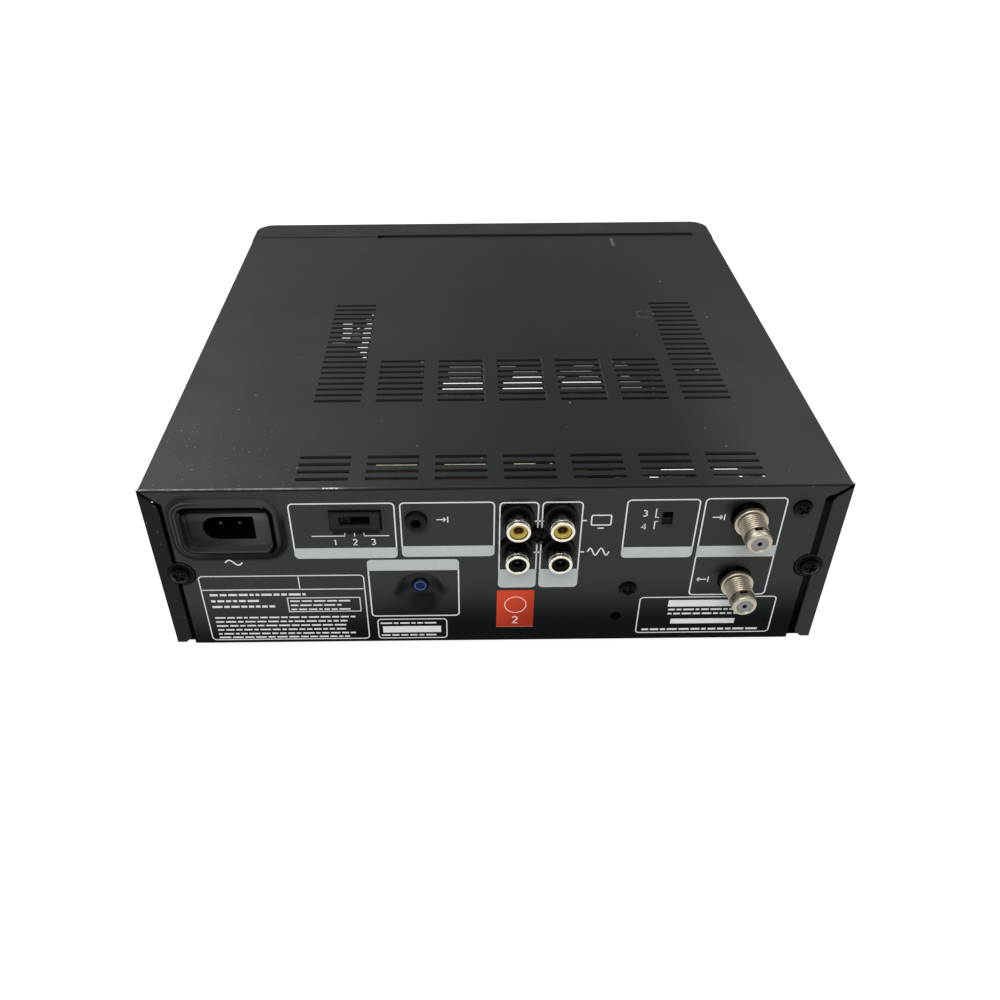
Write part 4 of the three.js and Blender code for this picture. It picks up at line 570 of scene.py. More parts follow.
def extruded(outline, y0, y1):
    """A closed slab of an (x, z) outline between two depths."""
    count = len(outline)
    verts = [(x, y0, z) for x, z in outline] + [(x, y1, z) for x, z in outline]
    faces = [tuple(range(count)), tuple(reversed(range(count, 2 * count)))]
    faces += [(i, (i + 1) % count, (i + 1) % count + count, i + count) for i in range(count)]
    return verts, faces


def ring_slab(outer, inner, y0, y1):
    """A flat closed band between two outlines: rear and front faces, outer and inner walls."""
    count = len(outer)
    verts = [(x, y, z) for y in (y0, y1) for line in (outer, inner) for x, z in line]
    starts = [k * count for k in range(4)]
    bands = [(starts[a], starts[b]) for a, b in ((0, 1), (2, 3), (0, 2), (1, 3))]
    faces = []
    for i in range(count):
        j = (i + 1) % count
        faces += [(a + i, a + j, b + j, b + i) for a, b in bands]
    return verts, faces


def round_rect(x0, x1, z0, z1, radii, steps=6):
    """Outline from the lower left corner, anticlockwise in x and z. One radius or one for each corner."""
    if not isinstance(radii, tuple):
        radii = (radii,) * 4
    corners = ((x0, z0, 1, 1, 180), (x1, z0, -1, 1, 270), (x1, z1, -1, -1, 0), (x0, z1, 1, -1, 90))
    outline = []
    for (x, z, dx, dz, start), radius in zip(corners, radii):
        radius = max(radius, 0.001)
        across, up = x + dx * radius, z + dz * radius
        for angle in (math.radians(start + 90 * i / steps) for i in range(steps + 1)):
            outline.append((across + radius * math.cos(angle), up + radius * math.sin(angle)))
    return outline


def block(x, y, z):
    outline = [(x[0], z[0]), (x[1], z[0]), (x[1], z[1]), (x[0], z[1])]
    return extruded(outline, y[0], y[1])


def ribbon(points, width, y0, y1):
    """A flat stroke of even width along a line of (x, z) points."""
    left, right = [], []
    for i, point in enumerate(points):
        ahead = Vector(points[min(i + 1, len(points) - 1)])
        behind = Vector(points[max(i - 1, 0)])
        run = (ahead - behind).normalized()
        side = Vector((-run.y, run.x)) * width / 2
        left.append(tuple(Vector(point) + side))
        right.append(tuple(Vector(point) - side))
    return extruded(left + right[::-1], y0, y1)


# Carried-over solids: welded, eased edges, smooth rounds
def smooth_by_angle(limit):
    group = bpy.data.node_groups.new("smooth_by_angle", "GeometryNodeTree")
    group.interface.new_socket("Geometry", in_out="INPUT", socket_type="NodeSocketGeometry")
    group.interface.new_socket("Geometry", in_out="OUTPUT", socket_type="NodeSocketGeometry")
    start = add(group, "NodeGroupInput")
    end = add(group, "NodeGroupOutput")
    drop = add(group, "GeometryNodeRemoveAttribute", {"Geometry": start.outputs[0], "Name": "custom_normal"})
    angle = add(group, "GeometryNodeInputMeshEdgeAngle")
    wide = calc(group, "GREATER_THAN", angle.outputs[0], math.radians(limit))
    inputs = {"Geometry": drop.outputs[0], "Shade Smooth": True}
    faces = add(group, "GeometryNodeSetShadeSmooth", inputs, domain="FACE")
    inputs = {"Geometry": faces.outputs[0], "Selection": wide, "Shade Smooth": False}
    edges = add(group, "GeometryNodeSetShadeSmooth", inputs, domain="EDGE")
    group.links.new(edges.outputs[0], end.inputs[0])
    return group


SMOOTH = smooth_by_angle(38.0)
EDGE = 0.15
EDGES = {
    "top_cover": 0.35,
    "rear_panel": 0.3,
    "base_pan": 0.3,
    "front_bezel": 0.6,
    "ac_inlet": 0.35,
    "mode_switch": 0.35,
    "mode_slider": 0.2,
    "cassette_flap": 0.4,
}


def finish_node(name, material):
    obj = nodes[name]
    obj.data.materials.clear()
    obj.data.materials.append(MATERIALS[material])
    weld = obj.modifiers.new("weld", "WELD")
    weld.merge_threshold = 1e-6
    bevel = obj.modifiers.new("bevel", "BEVEL")
    bevel.width = EDGES.get(name, EDGE) / 1000
    bevel.segments = 2
    bevel.limit_method = "ANGLE"
    bevel.angle_limit = math.radians(28)
    shading = obj.modifiers.new("smooth", "NODES")
    shading.node_group = SMOOTH
    weighted = obj.modifiers.new("weighted", "WEIGHTED_NORMAL")
    weighted.keep_sharp = True
    obj.data.update()


FINISHES = {
    "cover_paint": ("top_cover",),
    "panel_paint": ("rear_panel",),
    "bezel_plastic": ("front_bezel", "cassette_flap"),
    "smoked_window": ("display_window",),
    "inlet_plastic": ("ac_inlet",),
    "switch_plastic": ("mode_switch",),
    "slider_plastic": ("mode_slider", "channel_slider"),
    "black_plastic": (
        "control_s_jack", "control_l_jack", "phono_block", "carriage_slider", "supply_reel", "takeup_reel",
    ),
    "tuner_metal": ("tuner_can",),
    "zinc_steel": (
        "base_pan", "mech_chassis", "carriage_frame", "cassette_holder", "pinch_arm", "signal_shield",
    ),
    "alloy": ("lower_drum", "upper_drum", "capstan_flywheel", "supply_guide", "takeup_guide"),
    "rubber": ("pinch_roller",),
    "resin": ("idler_wheel", "motor_pinion", "loading_gear"),
    "motor_case": ("loading_motor", "power_transformer"),
    "board_green": ("main_board",),
    "board_tan": ("power_board", "jack_board", "front_board"),
}
NODE_FINISH = {name: finish for finish, group in FINISHES.items() for name in group}
for node_name in nodes:
    if node_name.endswith(("_key", "_button")):
        NODE_FINISH[node_name] = "key_plastic"
    elif node_name.startswith("foot_"):
        NODE_FINISH[node_name] = "rubber"
    elif "screw" in node_name:
        NODE_FINISH[node_name] = "black_screw"
    elif node_name.endswith(("_shell", "_connector")):
        NODE_FINISH[node_name] = "nickel"
    finish_node(node_name, NODE_FINISH[node_name])


# Rear panel: prints
PRINT_Y = (-0.06, 0.02)
LINE = 0.5
BANDS = []


def high(level):
    return FOOT + level


def framed(x0, x1, z0, z1, corner=1.6, bands=(), line=LINE):
    """A printed frame with filled bands, each a (low, high) level."""
    z0, z1 = high(z0), high(z1)
    outer = round_rect(x0, x1, z0, z1, corner)
    inner = round_rect(x0 + line, x1 - line, z0 + line, z1 - line, max(corner - line, 0.2))
    parts = [ring_slab(outer, inner, *PRINT_Y)]
    for low, top in bands:
        low, top = high(low), high(top)
        below = corner if low <= z0 + 0.01 else 0.0
        above = corner if top >= z1 - 0.01 else 0.0
        outline = round_rect(x0, x1, low, top, (below, below, above, above))
        BANDS.append(extruded(outline, PRINT_Y[0] - 0.01, PRINT_Y[1]))
    return parts


def bar(x0, x1, z0, z1):
    return block((x0, x1), PRINT_Y, (high(z0), high(z1)))


def stroke(points, width=0.45):
    return ribbon([(x, high(z)) for x, z in points], width, *PRINT_Y)


def ruled(x0, x1, levels, height, seed, share=0.9):
    """Rows of short plain bars, in place of small print."""
    pick = random.Random(seed)
    parts = []
    for level in levels:
        x = x0
        end = x0 + (x1 - x0) * (share + (1 - share) * pick.random())
        while x < end - 1.0:
            length = min(pick.uniform(1.4, 4.6), end - x)
            parts.append(bar(x, x + length, level, level + height))
            x += length + 0.7
    return parts


DIGITS = {
    "1": [[(0.25, 0.8), (0.5, 1.0), (0.5, 0.0)]],
    "2": [[(0.1, 0.8), (0.25, 0.97), (0.6, 1.0), (0.85, 0.82), (0.8, 0.6), (0.1, 0.0), (0.9, 0.0)]],
    "3": [
        [(0.1, 0.9), (0.45, 1.0), (0.8, 0.88), (0.8, 0.65), (0.45, 0.53)],
        [(0.45, 0.53), (0.85, 0.4), (0.85, 0.15), (0.5, 0.0), (0.1, 0.1)],
    ],
    "4": [[(0.7, 0.0), (0.7, 1.0), (0.05, 0.3), (0.95, 0.3)]],
}


def digit(mark, x, z, tall=2.6):
    return [stroke([(x + u * tall * 0.7, z + v * tall) for u, v in line], 0.42) for line in DIGITS[mark]]


def arrow(x, z, length, towards):
    """A plain arrow along x with a stop line: towards is 1 into the line, -1 away from it."""
    tip = x + length / 2
    tail = x - length / 2
    if towards < 0:
        tip, tail = tail, tip
    head = 0.9 * (1 if tip > tail else -1)
    return [
        stroke([(tail, z), (tip, z)], 0.42),
        stroke([(tip - head, z + 0.9), (tip, z), (tip - head, z - 0.9)], 0.42),
        stroke([(x + length / 2 + 0.7, z - 1.3), (x + length / 2 + 0.7, z + 1.3)], 0.42),
    ]


def prints():
    """Plain frames, bands, digits and signs on the panel; rows of bars take the place of words."""
    cross = [bar(14.2, 18.0, 60.4, 60.95), bar(14.2, 18.0, 45.6, 46.15)]
    ticks = [bar(31.4, 33.0, 60.4, 60.95), bar(31.4, 33.0, 45.6, 46.15)]
    waves = [(34.2 + 8 * i / 24, 45.9 + 1.7 * math.sin(2 * math.pi * i / 12)) for i in range(25)]
    sine = [(-100.4 + 6.4 * i / 24, 42.3 + 1.2 * math.sin(2 * math.pi * i / 24)) for i in range(25)]
    pieces = {
        "mode": (
            framed(-74.1, -36.0, 43.9, 69.7, 1.8, [(43.9, 48.9)])
            + [
                stroke([(-66.9, 54.6), (-54.7, 54.6), (-54.7, 55.9)], 0.35),
                stroke([(-51.2, 54.4), (-51.2, 55.9)], 0.35),
                stroke([(-38.6, 54.6), (-47.8, 54.6), (-47.8, 55.9)], 0.35),
            ]
            + digit("1", -59.3, 50.4)
            + digit("2", -52.1, 50.4)
            + digit("3", -45.4, 50.4)
        ),
        "control_s": framed(-34.4, -0.2, 44.3, 69.7, 1.8, [(44.3, 49.4)]) + arrow(-19.6, 61.8, 3.4, 1),
        "control_l": framed(-47.8, -13.4, 13.7, 43.0, 1.8, [(37.6, 43.0)]),
        "line_in": framed(1.3, 15.6, 28.4, 69.4, 1.8, [(28.4, 37.6)]),
        "line_out": framed(16.6, 31.4, 28.4, 69.4, 1.8, [(28.4, 37.6)]),
        "line_marks": cross + ticks,
        "video_sign": [
            ring_slab(
                round_rect(34.4, 42.0, high(58.3), high(63.3), 0.8),
                round_rect(34.9, 41.5, high(58.8), high(62.8), 0.5),
                *PRINT_Y,
            ),
            stroke([(37.1, 57.1), (39.3, 57.1)], 0.5),
        ],
        "audio_sign": [stroke(waves, 0.5)],
        "rf_unit": (
            framed(46.7, 73.1, 42.8, 70.0, 1.8, [(42.8, 47.9)])
            + digit("3", 52.9, 62.4)
            + digit("4", 52.9, 56.4)
            + [
                stroke([(57.6, 65.8), (57.6, 61.8), (58.8, 61.8)], 0.4),
                stroke([(58.8, 60.0), (57.6, 60.0), (57.6, 56.4)], 0.4),
            ]
        ),
        "aerial": (
            framed(74.6, 104.1, 23.4, 70.3, 1.8, [(42.8, 48.1)])
            + arrow(80.0, 61.6, 3.6, 1)
            + arrow(78.6, 31.6, 3.6, -1)
        ),
        "mains_sign": [stroke(sine, 0.55)],
        "rating_frame": (
            framed(-112.1, -49.3, 1.5, 35.7, 1.8, line=0.42)
            + [bar(-111.9, -49.5, 28.3, 28.7), bar(-74.4, -74.0, 28.5, 35.5)]
            + framed(-79.8, -51.6, 16.6, 24.2, 0.3, line=0.35)
        ),
        "rating_rows": (
            ruled(-109.1, -69.3, (25.4,), 1.0, 3)
            + ruled(-109.1, -83.3, (22.2, 19.2), 1.0, 4, 0.7)
            + ruled(-78.7, -53.1, (22.0, 19.8, 17.6), 0.7, 5, 0.8)
            + ruled(-109.1, -53.1, (13.4, 11.2, 9.0, 6.8, 4.6, 2.6), 0.75, 6)
        ),
        "licence_frame": framed(-45.9, -18.4, 1.5, 12.3, 1.6, line=0.42),
        "licence_rows": ruled(-44.6, -20.1, (9.6, 3.0), 0.7, 8) + [bar(-43.9, -20.9, 4.8, 8.2)],
        "notice_frame": framed(56.2, 109.3, 3.1, 22.6, 1.6, line=0.42),
        "notice_rows": ruled(68.0, 97.0, (15.4, 13.2), 0.8, 9) + ruled(58.6, 107.1, (4.6,), 0.9, 10),
        "notice_bars": [bar(67.6, 97.2, 17.4, 20.8), bar(69.6, 94.8, 8.2, 10.8)],
    }
    for name, parts in pieces.items():
        make("print_" + name, *merged(parts), "print_grey")
    make("print_bands", *merged(BANDS), "print_band")


prints()


# Orange-red label whose lower edge is slightly uneven
def label():
    """Paper with a pale cut edge below, and a ring and a plain digit printed on it."""
    pick = random.Random(21)
    x0, x1, z0, z1 = 0.9, 15.4, high(7.6), high(26.9)
    edge = [(x0 + (x1 - x0) * i / 22, z0 + pick.uniform(0.0, 0.12)) for i in range(23)]
    outline = edge + [(x1 - 0.1, z1 - 0.3), (x1 - 0.5, z1), (x0 + 0.4, z1), (x0 + 0.05, z1 - 0.4)]
    make("label", *extruded(outline, -0.14, 0.0), "label_red")
    fray = [(x, z - 0.3 - pick.uniform(0.0, 0.06)) for x, z in edge]
    make("label_fray", *extruded(fray + edge[::-1], -0.09, 0.0), "label_edge")
    centre = (8.2, high(19.4))
    turns = [math.tau * i / 40 for i in range(40)]
    outer, inner = (
        [(centre[0] + r * math.cos(a), centre[1] + r * math.sin(a)) for a in turns] for r in (4.3, 3.95)
    )
    parts = [ring_slab(outer, inner, -0.2, -0.13)]
    tall = 3.4
    for line in DIGITS["2"]:
        points = [(7.0 + u * tall * 0.7, high(9.6) + v * tall) for u, v in line]
        parts.append(ribbon(points, 0.6, -0.2, -0.13))
    make("label_mark", *merged(parts), "label_print")


label()


# Phono sockets
PHONO = {"x": 15.75, "z": 59.3, "pitch_x": 15.6, "pitch_z": 15.3}


def phono_sockets():
    """One body with four bosses, and for each socket a shell, a collar, a rim, a core, a bore and a spring."""
    body = [block((1.3, 28.9), (1.6, 19.5), (47.0, 74.2))]
    names = {(-1, -1): "audio_in", (-1, 1): "video_in", (1, -1): "audio_out", (1, 1): "video_out"}
    for (side, level), name in names.items():
        x = PHONO["x"] + side * PHONO["pitch_x"] / 2
        z = PHONO["z"] + level * PHONO["pitch_z"] / 2
        turn = facing_rear(x, z)
        boss = fillet([(3.4, 1.5), (3.4, -0.5), (4.6, -0.9), (5.0, -1.2), (6.2, -1.2), (6.2, 1.5)], 0.5)
        body.append(revolve(boss, turn, ring=True))
        outer = [(3.35, -0.6), (4.05, -0.6), (4.05, -5.3), (3.9, -5.6), (3.9, -7.2)]
        outer += [(4.3, -7.5), (4.3, -8.3), (3.45, -8.3), (3.45, -0.6)]
        shell = make(name + "_socket", *revolve(fillet(outer, 0.22), turn, ring=True), "dull_nickel")
        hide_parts(name + "_shell")
        rim = fillet([(3.3, -8.0), (3.3, -8.34), (4.36, -8.34), (4.36, -7.5), (4.1, -7.4)], 0.25)
        collar = fillet([(3.88, -6.15), (4.26, -6.25), (4.26, -6.6), (3.88, -6.7)], 0.1)
        make(name + "_collar", *revolve(collar, turn, ring=True), "bright_rim")
        make(name + "_rim", *revolve(rim, turn, ring=True), "bright_rim")
        core = fillet([(1.7, -0.8), (3.3, -0.8), (3.3, -7.5), (3.1, -7.8), (2.1, -7.6), (1.7, -6.9)], 0.2)
        make(name + "_core", *revolve(core, turn, ring=True), "yellow_core" if level > 0 else "part_black")
        # Painted shade in each bore: shaded yellow in the upper sockets and black in the lower; the upper
        # springs are shaded yellow too
        bore = [(0.0, -3.4), (1.4, -3.4), (1.45, -6.8), (1.69, -7.1), (1.69, -0.8), (0.0, -0.8)]
        make(name + "_bore", *revolve(bore, turn, 32), "bore_brown" if level > 0 else "dark_well")
        spring = fillet([(0.55, -3.3), (0.62, -5.0), (1.0, -5.8), (1.2, -5.6), (0.95, -3.3)], 0.2)
        inner = "bore_brown" if level > 0 else "dull_nickel"
        make(name + "_spring", *revolve(spring, turn, 24, ring=True), inner)
    block_piece = make("phono_body", *merged(body), "black_plastic")
    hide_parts("phono_block")


phono_sockets()


# Aerial connectors
def thread(turn, radius=4.8, pitch=1.05, depth=0.6, start=-3.1, end=-10.7):
    """Ridges that wind round a barrel and fade out at both ends."""
    sides, count = 72, 150
    verts = []
    for row in range(count + 1):
        y = start + (end - start) * row / count
        fade = min(1.0, row / 6, (count - row) / 6)
        for i in range(sides):
            phase = (y / pitch + i / sides) % 1.0
            cut = depth * fade * (1 - abs(2 * phase - 1))
            verts.append(turn(radius - cut, y, 2 * math.pi * i / sides))
    return verts, ring_faces(count + 1, sides)


def aerial_connector(node, x, z):
    turn = facing_rear(x, z)
    flange = [(3.5, 1.0), (3.5, -3.2), (5.8, -3.2), (6.1, -2.9), (6.1, -1.3), (5.8, -1.0)]
    flange += [(4.2, -1.0), (4.2, 1.0)]
    tip = [(4.3, -10.4), (4.66, -10.6), (4.62, -13.3), (4.3, -14.3), (3.1, -14.7), (2.95, -14.2), (0.9, -14.2)]
    disc = [(2.93, -14.15), (2.93, -14.32), (1.0, -14.38), (0.75, -14.2), (0.7, -11.4), (0.0, -11.4)]
    bore = [(0.72, -14.4), (0.72, -14.3), (0.0, -14.3)]
    make(node + "_thread", *thread(turn), "threaded_nickel", angle=70)
    parts = [revolve(fillet(flange, 0.2), turn, 64, ring=True), revolve(fillet(tip, 0.35), turn, 64)]
    barrel = make(node + "_metal", *merged(parts), "nickel", angle=50)
    make(node + "_disc", *revolve(fillet(disc, 0.12), turn), "disc_grey")
    # Painted shade: a black disc in the centre hole and a black block in the notch of the tip
    make(node + "_bore", *revolve(bore, turn, 20), "dark_well")
    make(node + "_notch", *block((x - 1.8, x + 0.9), (-12.0, -11.0), (z + 3.9, z + 4.72)), "dark_well")
    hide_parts(node)


aerial_connector("antenna_in_connector", 91.7, high(60.7))
aerial_connector("antenna_out_connector", 91.7, high(30.8))


# Screws with cross recesses
def screw(node, turned, across=0.0, lower=0.0, proud=0.0):
    """A domed head with a cross recess, turned by an angle and shifted from the CAD screw that it replaces."""
    x, z, front, back = middle(node)
    x, z, front = x + across, z - lower, front - proud
    rings, sides, radius, reach = 26, 72, 3.5, 2.05
    turns = [2 * math.pi * i / sides for i in range(sides)]
    verts = [(x, front + 1.25, z)]
    for ring in range(1, rings + 1):
        r = radius * ring / rings
        dome = 1.0 * (r / radius) ** 2.4 + (0.35 if ring == rings else 0.0)
        for a in turns:
            u, v = abs(r * math.cos(a + turned)), abs(r * math.sin(a + turned))
            arm = min(max(u, v) / reach, 1.0)
            inside = min(u, v) < 0.5 + 0.12 * r and max(u, v) < reach
            sink = 1.3 * (1 - arm * 0.55) if inside else 0.0
            verts.append((x + r * math.cos(a), front + dome + sink, z + r * math.sin(a)))
    base = 1 + (rings - 1) * sides
    verts += [(vx, front + 2.0, vz) for vx, _, vz in verts[base:]]
    faces = [(0, 1 + i, 1 + (i + 1) % sides) for i in range(sides)]
    faces += ring_faces(rings + 1, sides, 1)
    faces.append(tuple(range(base + sides, base + 2 * sides)))
    shank = [(0.0, front + 2.0), (1.4, front + 2.0), (1.4, back - 0.3), (0.0, back)]
    parts = [(verts, faces), revolve(shank, facing_rear(x, z), 16)]
    head = make(node + "_head", *merged(parts), "black_screw", angle=40)
    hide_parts(node)


screw("cover_screw_left", 0.5)
screw("cover_screw_right", 0.2)
screw("panel_screw_right", 0.65)
screw("panel_screw_low", 0.1, across=0.4, lower=0.7)
screw("socket_screw", 0.4, across=0.6, lower=2.2, proud=1.0)


# Small round jacks and the pressed dish
def small_jacks():
    x, z = -28.6, high(61.8)
    turn = facing_rear(x, z)
    sleeve = [(0.0, -0.6), (1.85, -0.6), (1.85, -2.4), (2.2, -2.6), (3.5, -2.6), (3.9, -2.3)]
    sleeve += [(3.9, 8.0), (0, 8.0)]
    jack = make("control_s_sleeve", *revolve(fillet(sleeve, 0.3), turn), "black_plastic")
    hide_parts("control_s_jack")
    # Painted shade: black lining in the sleeve's bore
    make("control_s_bore", *revolve([(1.8, -2.2), (1.8, -0.7), (0.0, -0.7)], turn, 24), "dark_well")
    x, z = -28.5, high(26.6)
    turn = facing_rear(x, z)
    _, _, front, back = middle("control_l_jack")
    neck = [(0, front + 2.6), (1.5, front + 2.6), (1.5, front + 0.2), (2.6, front), (3.1, front + 0.4)]
    neck += [(3.1, back), (0, back)]
    jack = make("control_l_neck", *revolve(fillet(neck, 0.25), turn), "black_plastic")
    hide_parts("control_l_jack")
    ring = fillet([(2.3, front + 0.5), (2.3, front - 0.02), (2.6, front - 0.03), (2.85, front + 0.5)], 0.15)
    make("control_l_ring", *revolve(ring, turn, ring=True), "blue_jack")
    lip = fillet([(1.88, front + 0.5), (1.92, front - 0.03), (2.22, front - 0.03), (2.29, front + 0.5)], 0.1)
    make("control_l_lip", *revolve(lip, turn, ring=True), "blue_bright")
    bore = [(1.87, front + 0.15), (1.5, front + 0.5), (0.0, front + 0.5)]
    make("control_l_bore", *revolve(bore, turn, 24), "blue_jack")
    pin = fillet([(0.0, front + 0.3), (0.5, front + 0.35), (0.55, front + 0.6)], 0.1)
    make("control_l_pin", *revolve(pin, turn, 20), "blue_jack")
    bowl = [(11.2, 0.0), (10.8, -0.07), (9.9, -0.02), (9.1, 0.5), (6.8, 4.1), (6.3, 4.38), (3.4, 4.42)]
    bowl += [(3.4, 4.5), (6.9, 4.5), (9.3, 0.5)]
    make("dish_wall", *revolve(fillet(bowl, 0.5), turn, 72, ring=True), "panel_paint")


small_jacks()


# Power inlet: soft rim and pin sleeves
def inlet_trim():
    x, z = -97.2, high(58.8)
    profile = ((3.75, 0.0), (3.7, -0.5), (3.3, -1.25), (2.5, -1.75), (1.6, -1.86), (0.7, -1.8), (0.1, -1.45))
    verts = []
    for grow, y in profile + ((0.0, -0.9), (0.02, 1.2)):
        half_x, half_z = 15.8 + grow, 9.55 + grow
        outline = round_rect(x - half_x, x + half_x, z - half_z, z + half_z, 3.5 + grow, 8)
        verts += [(u, y, v) for u, v in outline]
    count, rows = len(outline), len(profile) + 2
    last = (rows - 1) * count
    faces = ring_faces(rows, count)
    faces += [(last + i, last + (i + 1) % count, (i + 1) % count, i) for i in range(count)]
    make("inlet_rim", verts, faces, "panel_paint")
    tip = fillet([(0.0, 5.4), (0.8, 5.6), (1.25, 6.6), (1.25, 17.4)], 0.4)
    for side, name in ((-1, "left"), (1, "right")):
        turn = facing_rear(x + side * 3.55, z - 2.0)
        make("inlet_pin_" + name, *revolve(tip, turn, 24), "dull_nickel")


inlet_trim()


# Cover lobes beside the panel, darker than the cover as painted shade
for lobe_name, lobe_x, lobe_z in (("lobe_left", -118.2, 41.9), ("lobe_right", 118.2, 43.1)):
    lobe = fillet([(2.0, -0.06), (4.9, -0.06), (5.24, 0.25), (5.24, 1.0), (2.0, 1.0)], 0.2)
    make(lobe_name, *revolve(lobe, facing_rear(lobe_x, lobe_z), ring=True), "lobe_paint")


# Dark wedges as painted shadow in the gaps where the flanges meet the panel's ears, with bared metal at their
# ends
def seams():
    wedges = {
        "left": [(-126.15, 81.0), (-126.15, 80.0), (-121.2, 75.6), (-120.3, 73.2)]
        + [(-119.1, 73.2), (-119.3, 75.2), (-121.0, 76.7)],
        "right": [(126.15, 81.1), (126.15, 79.7), (120.9, 75.3), (120.1, 73.2)]
        + [(117.4, 73.2), (117.9, 75.7), (120.4, 76.6)],
    }
    for side, name in ((-1, "left"), (1, "right")):
        make("seam_" + name, *extruded(wedges[name], -0.04, 0.5), "dark_well")
        chips = [ribbon([(side * 126.15, 81.1), (side * 125.4, 81.25)], 0.3, -0.06, 0.4)]
        if side < 0:
            chips.append(ribbon([(-121.6, 76.2), (-121.1, 75.9)], 0.4, -0.06, 0.4))
        make("seam_chips_" + name, *merged(chips), "bright_rim")


seams()


# What shows through the louvres, coloured as painted glints and reflections off the metal and boards inside:
# (column, row, from, to), the last two as shares of the slot's length
SLOT_LENGTH = 18.8
COLUMN_PITCH = 24.71
MIDDLE_COLUMN = 12.5
EDGE_HEIGHTS = (79.4, 80.75)
BRIGHT = (
    (2, 2, 0.1, 0.98), (2, 3, 0.11, 0.98), (3, 2, 0.1, 0.97), (3, 3, 0.12, 0.97), (3, 4, 0.34, 0.98),
    (4, 3, 0.1, 0.95), (0, 15, 0.26, 0.48), (0, 14, 0.28, 0.5), (0, 13, 0.3, 0.52), (0, 12, 0.3, 0.5),
    (0, 15, 0.84, 0.97), (0, 14, 0.8, 0.97), (0, 13, 0.78, 0.97), (0, 12, 0.78, 0.98), (0, 11, 0.8, 0.96),
    (0, 10, 0.72, 0.96), (0, 9, 0.8, 0.95), (0, 8, 0.88, 0.96), (0, 14, 0.62, 0.68), (0, 17, 0.93, 0.97),
)
GREY = (
    (2, 4, 0.25, 0.95), (2, 5, 0.22, 0.95), (2, 6, 0.25, 0.95), (3, 6, 0.08, 0.42), (3, 5, 0.36, 0.9),
    (4, 2, 0.06, 0.94), (4, 4, 0.02, 0.18), (4, 4, 0.5, 0.92), (4, 5, 0.1, 0.8), (4, 6, 0.42, 0.88),
    (5, 2, 0.05, 0.5), (5, 3, 0.05, 0.5), (5, 4, 0.1, 0.3), (5, 6, 0.04, 0.32), (0, 16, 0.8, 0.95),
    (0, 13, 0.56, 0.72), (0, 12, 0.55, 0.74), (0, 11, 0.1, 0.4), (1, 7, 0.9, 0.98), (6, 5, 0.5, 0.58),
)
REAR_SILVER = ((5, 1, 0.38, 1.0), (6, 1, 0.08, 0.52), (5, 0, 0.12, 0.28), (6, 0, 0.5, 0.56), (6, 0, 0.94, 0.99))
REAR_TAN = ((1, 2, 0.18, 0.97), (2, 2, 0.18, 0.98), (3, 2, 0.2, 0.62), (3, 2, 0.9, 0.95))


def glimpses():
    """Edges of shields and brackets that stand right up in the slots, with colours that are painted glints:
    first row, pitch and reach forward.
    """
    groups = (
        ("shield_edge_glints", BRIGHT, 58.7, 4.57, 0.62, "glimpse_bright"),
        ("bracket_edge_glints", GREY, 58.7, 4.57, 0.62, "glimpse_grey"),
        ("tuner_edge_glints", REAR_SILVER, 5.4, 4.53, 0.2, "glimpse_bright"),
        ("socket_board_edge_glints", REAR_TAN, 5.4, 4.53, 0.2, "glimpse_tan"),
    )
    for name, places, first, pitch, forward, material in groups:
        parts = []
        for column, row, start, end in places:
            left = MIDDLE_COLUMN + (column - 3) * COLUMN_PITCH - SLOT_LENGTH / 2
            y = first + row * pitch
            across = (left + SLOT_LENGTH * start, left + SLOT_LENGTH * end)
            parts.append(block(across, (y - 0.6, y + forward), EDGE_HEIGHTS))
        make(name, *merged(parts), material)


glimpses()


# A dark strip as painted shadow in the seam where the cover meets the front, and a dark disc as painted shade
# in the panel's small hole
make("front_seam", *block((-121.5, -55.0), (231.6, 232.35), (81.0, 81.33)), "dark_well")
shade_disc = [(0.0, -0.03), (2.1, -0.03), (2.1, 0.02), (0.0, 0.02)]
make("hole_shadow", *revolve(shade_disc, facing_rear(47.7, high(12.7)), 32), "dark_well")


# Symbols on the keys
def key_symbols():
    shapes = {
        "rewind_key": [[(-1.6, 1.3), (0.0, 0.0), (-1.6, -1.3)], [(0.0, 1.3), (1.6, 0.0), (0.0, -1.3)]],
        "play_key": [[(1.1, -1.5), (1.1, 1.5), (-1.4, 0.0)]],
        "forward_key": [[(0.0, -1.3), (0.0, 1.3), (-1.6, 0.0)], [(1.6, -1.3), (1.6, 1.3), (0.0, 0.0)]],
        "stop_key": [[(-1.1, -1.1), (1.1, -1.1), (1.1, 1.1), (-1.1, 1.1)]],
        "pause_key": [
            [(-1.2, -1.2), (-0.4, -1.2), (-0.4, 1.2), (-1.2, 1.2)],
            [(0.4, -1.2), (1.2, -1.2), (1.2, 1.2), (0.4, 1.2)],
        ],
        "eject_button": [
            [(-1.6, -0.4), (1.6, -0.4), (0.0, 1.4)],
            [(-1.6, -1.4), (1.6, -1.4), (1.6, -0.8), (-1.6, -0.8)],
        ],
    }
    arc = [(1.5 * math.sin(math.radians(a)), 1.5 * math.cos(math.radians(a))) for a in range(30, 331, 15)]
    for node in (*shapes, "record_key", "power_button"):
        x, z, _, y = middle(node)
        material = "label_red" if node == "record_key" else "print_grey"
        if node == "record_key":
            dot = [(0.0, y + 0.05), (1.25, y + 0.05), (1.25, y + 0.02), (0.0, y + 0.02)]
            parts = [revolve(dot, facing_rear(x, z), 32)]
        elif node == "power_button":
            strokes = ([(x + u, z + v) for u, v in arc], [(x, z + 0.2), (x, z + 2.0)])
            parts = [ribbon(line, 0.35, y - 0.02, y + 0.05) for line in strokes]
        else:
            parts = [extruded([(x + u, z + v) for u, v in line], y - 0.02, y + 0.05) for line in shapes[node]]
        make(node + "_symbol", *merged(parts), material, body=node)


key_symbols()


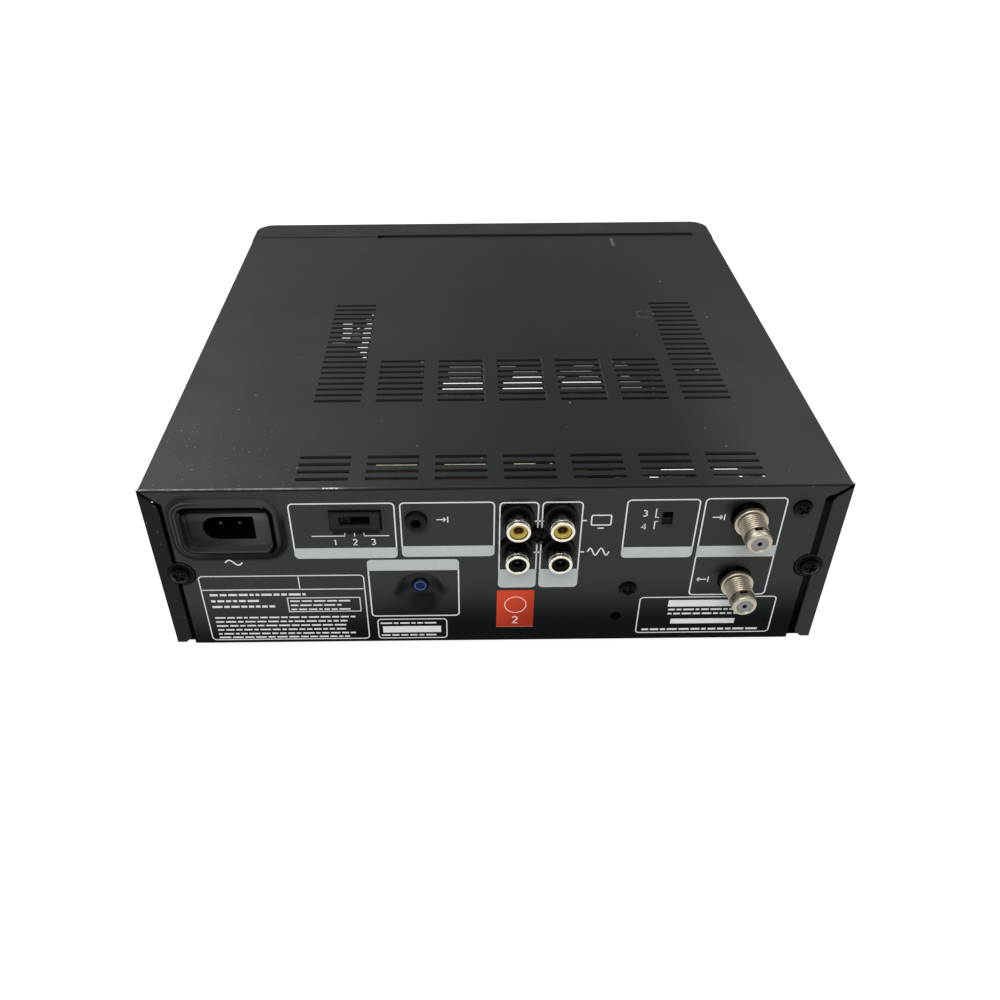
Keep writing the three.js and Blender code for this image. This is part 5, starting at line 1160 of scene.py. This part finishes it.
# Floor and light
def stage():
    size = 6.0
    mesh = bpy.data.meshes.new("floor")
    corners = [(-size, -size, 0), (size, -size, 0), (size, size, 0), (-size, size, 0)]
    mesh.from_pydata(corners, [], [(0, 1, 2, 3)])
    floor = bpy.data.objects.new("floor", mesh)
    scene.collection.objects.link(floor)
    material = bpy.data.materials.new("floor_white")
    material.use_nodes = True
    tree = material.node_tree
    tree.nodes.clear()
    seen = add(tree, "ShaderNodeLightPath").outputs
    shown = calc(tree, "MAXIMUM", seen["Is Camera Ray"], seen["Is Glossy Ray"])
    shown = calc(tree, "MAXIMUM", shown, seen["Is Transmission Ray"])
    matt = add(tree, "ShaderNodeBsdfDiffuse", {"Color": (0.30, 0.30, 0.30, 1)})
    glow = add(tree, "ShaderNodeEmission", {"Color": WHITE, "Strength": calc(tree, "MULTIPLY", shown, 0.82)})
    both = add(tree, "ShaderNodeAddShader", {0: matt.outputs[0], 1: glow.outputs[0]})
    add(tree, "ShaderNodeOutputMaterial", {"Surface": both.outputs[0]})
    floor.data.materials.append(material)
    world = bpy.data.worlds.new("studio")
    world.use_nodes = True
    scene.world = world
    tree = world.node_tree
    tree.nodes.clear()
    sky = add(tree, "ShaderNodeBackground", {"Color": WHITE, "Strength": 0.6})
    add(tree, "ShaderNodeOutputWorld", {"Surface": sky.outputs[0]})


def softbox(name, at, aim, size, power):
    data = bpy.data.lights.new(name, "AREA")
    data.shape = "RECTANGLE"
    data.size, data.size_y = size
    data.energy = power
    lamp = bpy.data.objects.new(name, data)
    lamp.location = at
    lamp.rotation_euler = (Vector(aim) - Vector(at)).to_track_quat("-Z", "Y").to_euler()
    scene.collection.objects.link(lamp)


stage()
softbox("key", (0.55, -0.55, 1.0), (0.0, 0.0, 0.05), (0.7, 0.7), 7.0)
softbox("side", (-0.75, -0.35, 0.9), (0.0, 0.0, 0.05), (0.6, 0.6), 3.0)
softbox("rear", (0.1, 0.9, 1.0), (0.0, 0.1, 0.04), (0.8, 0.5), 11.0)
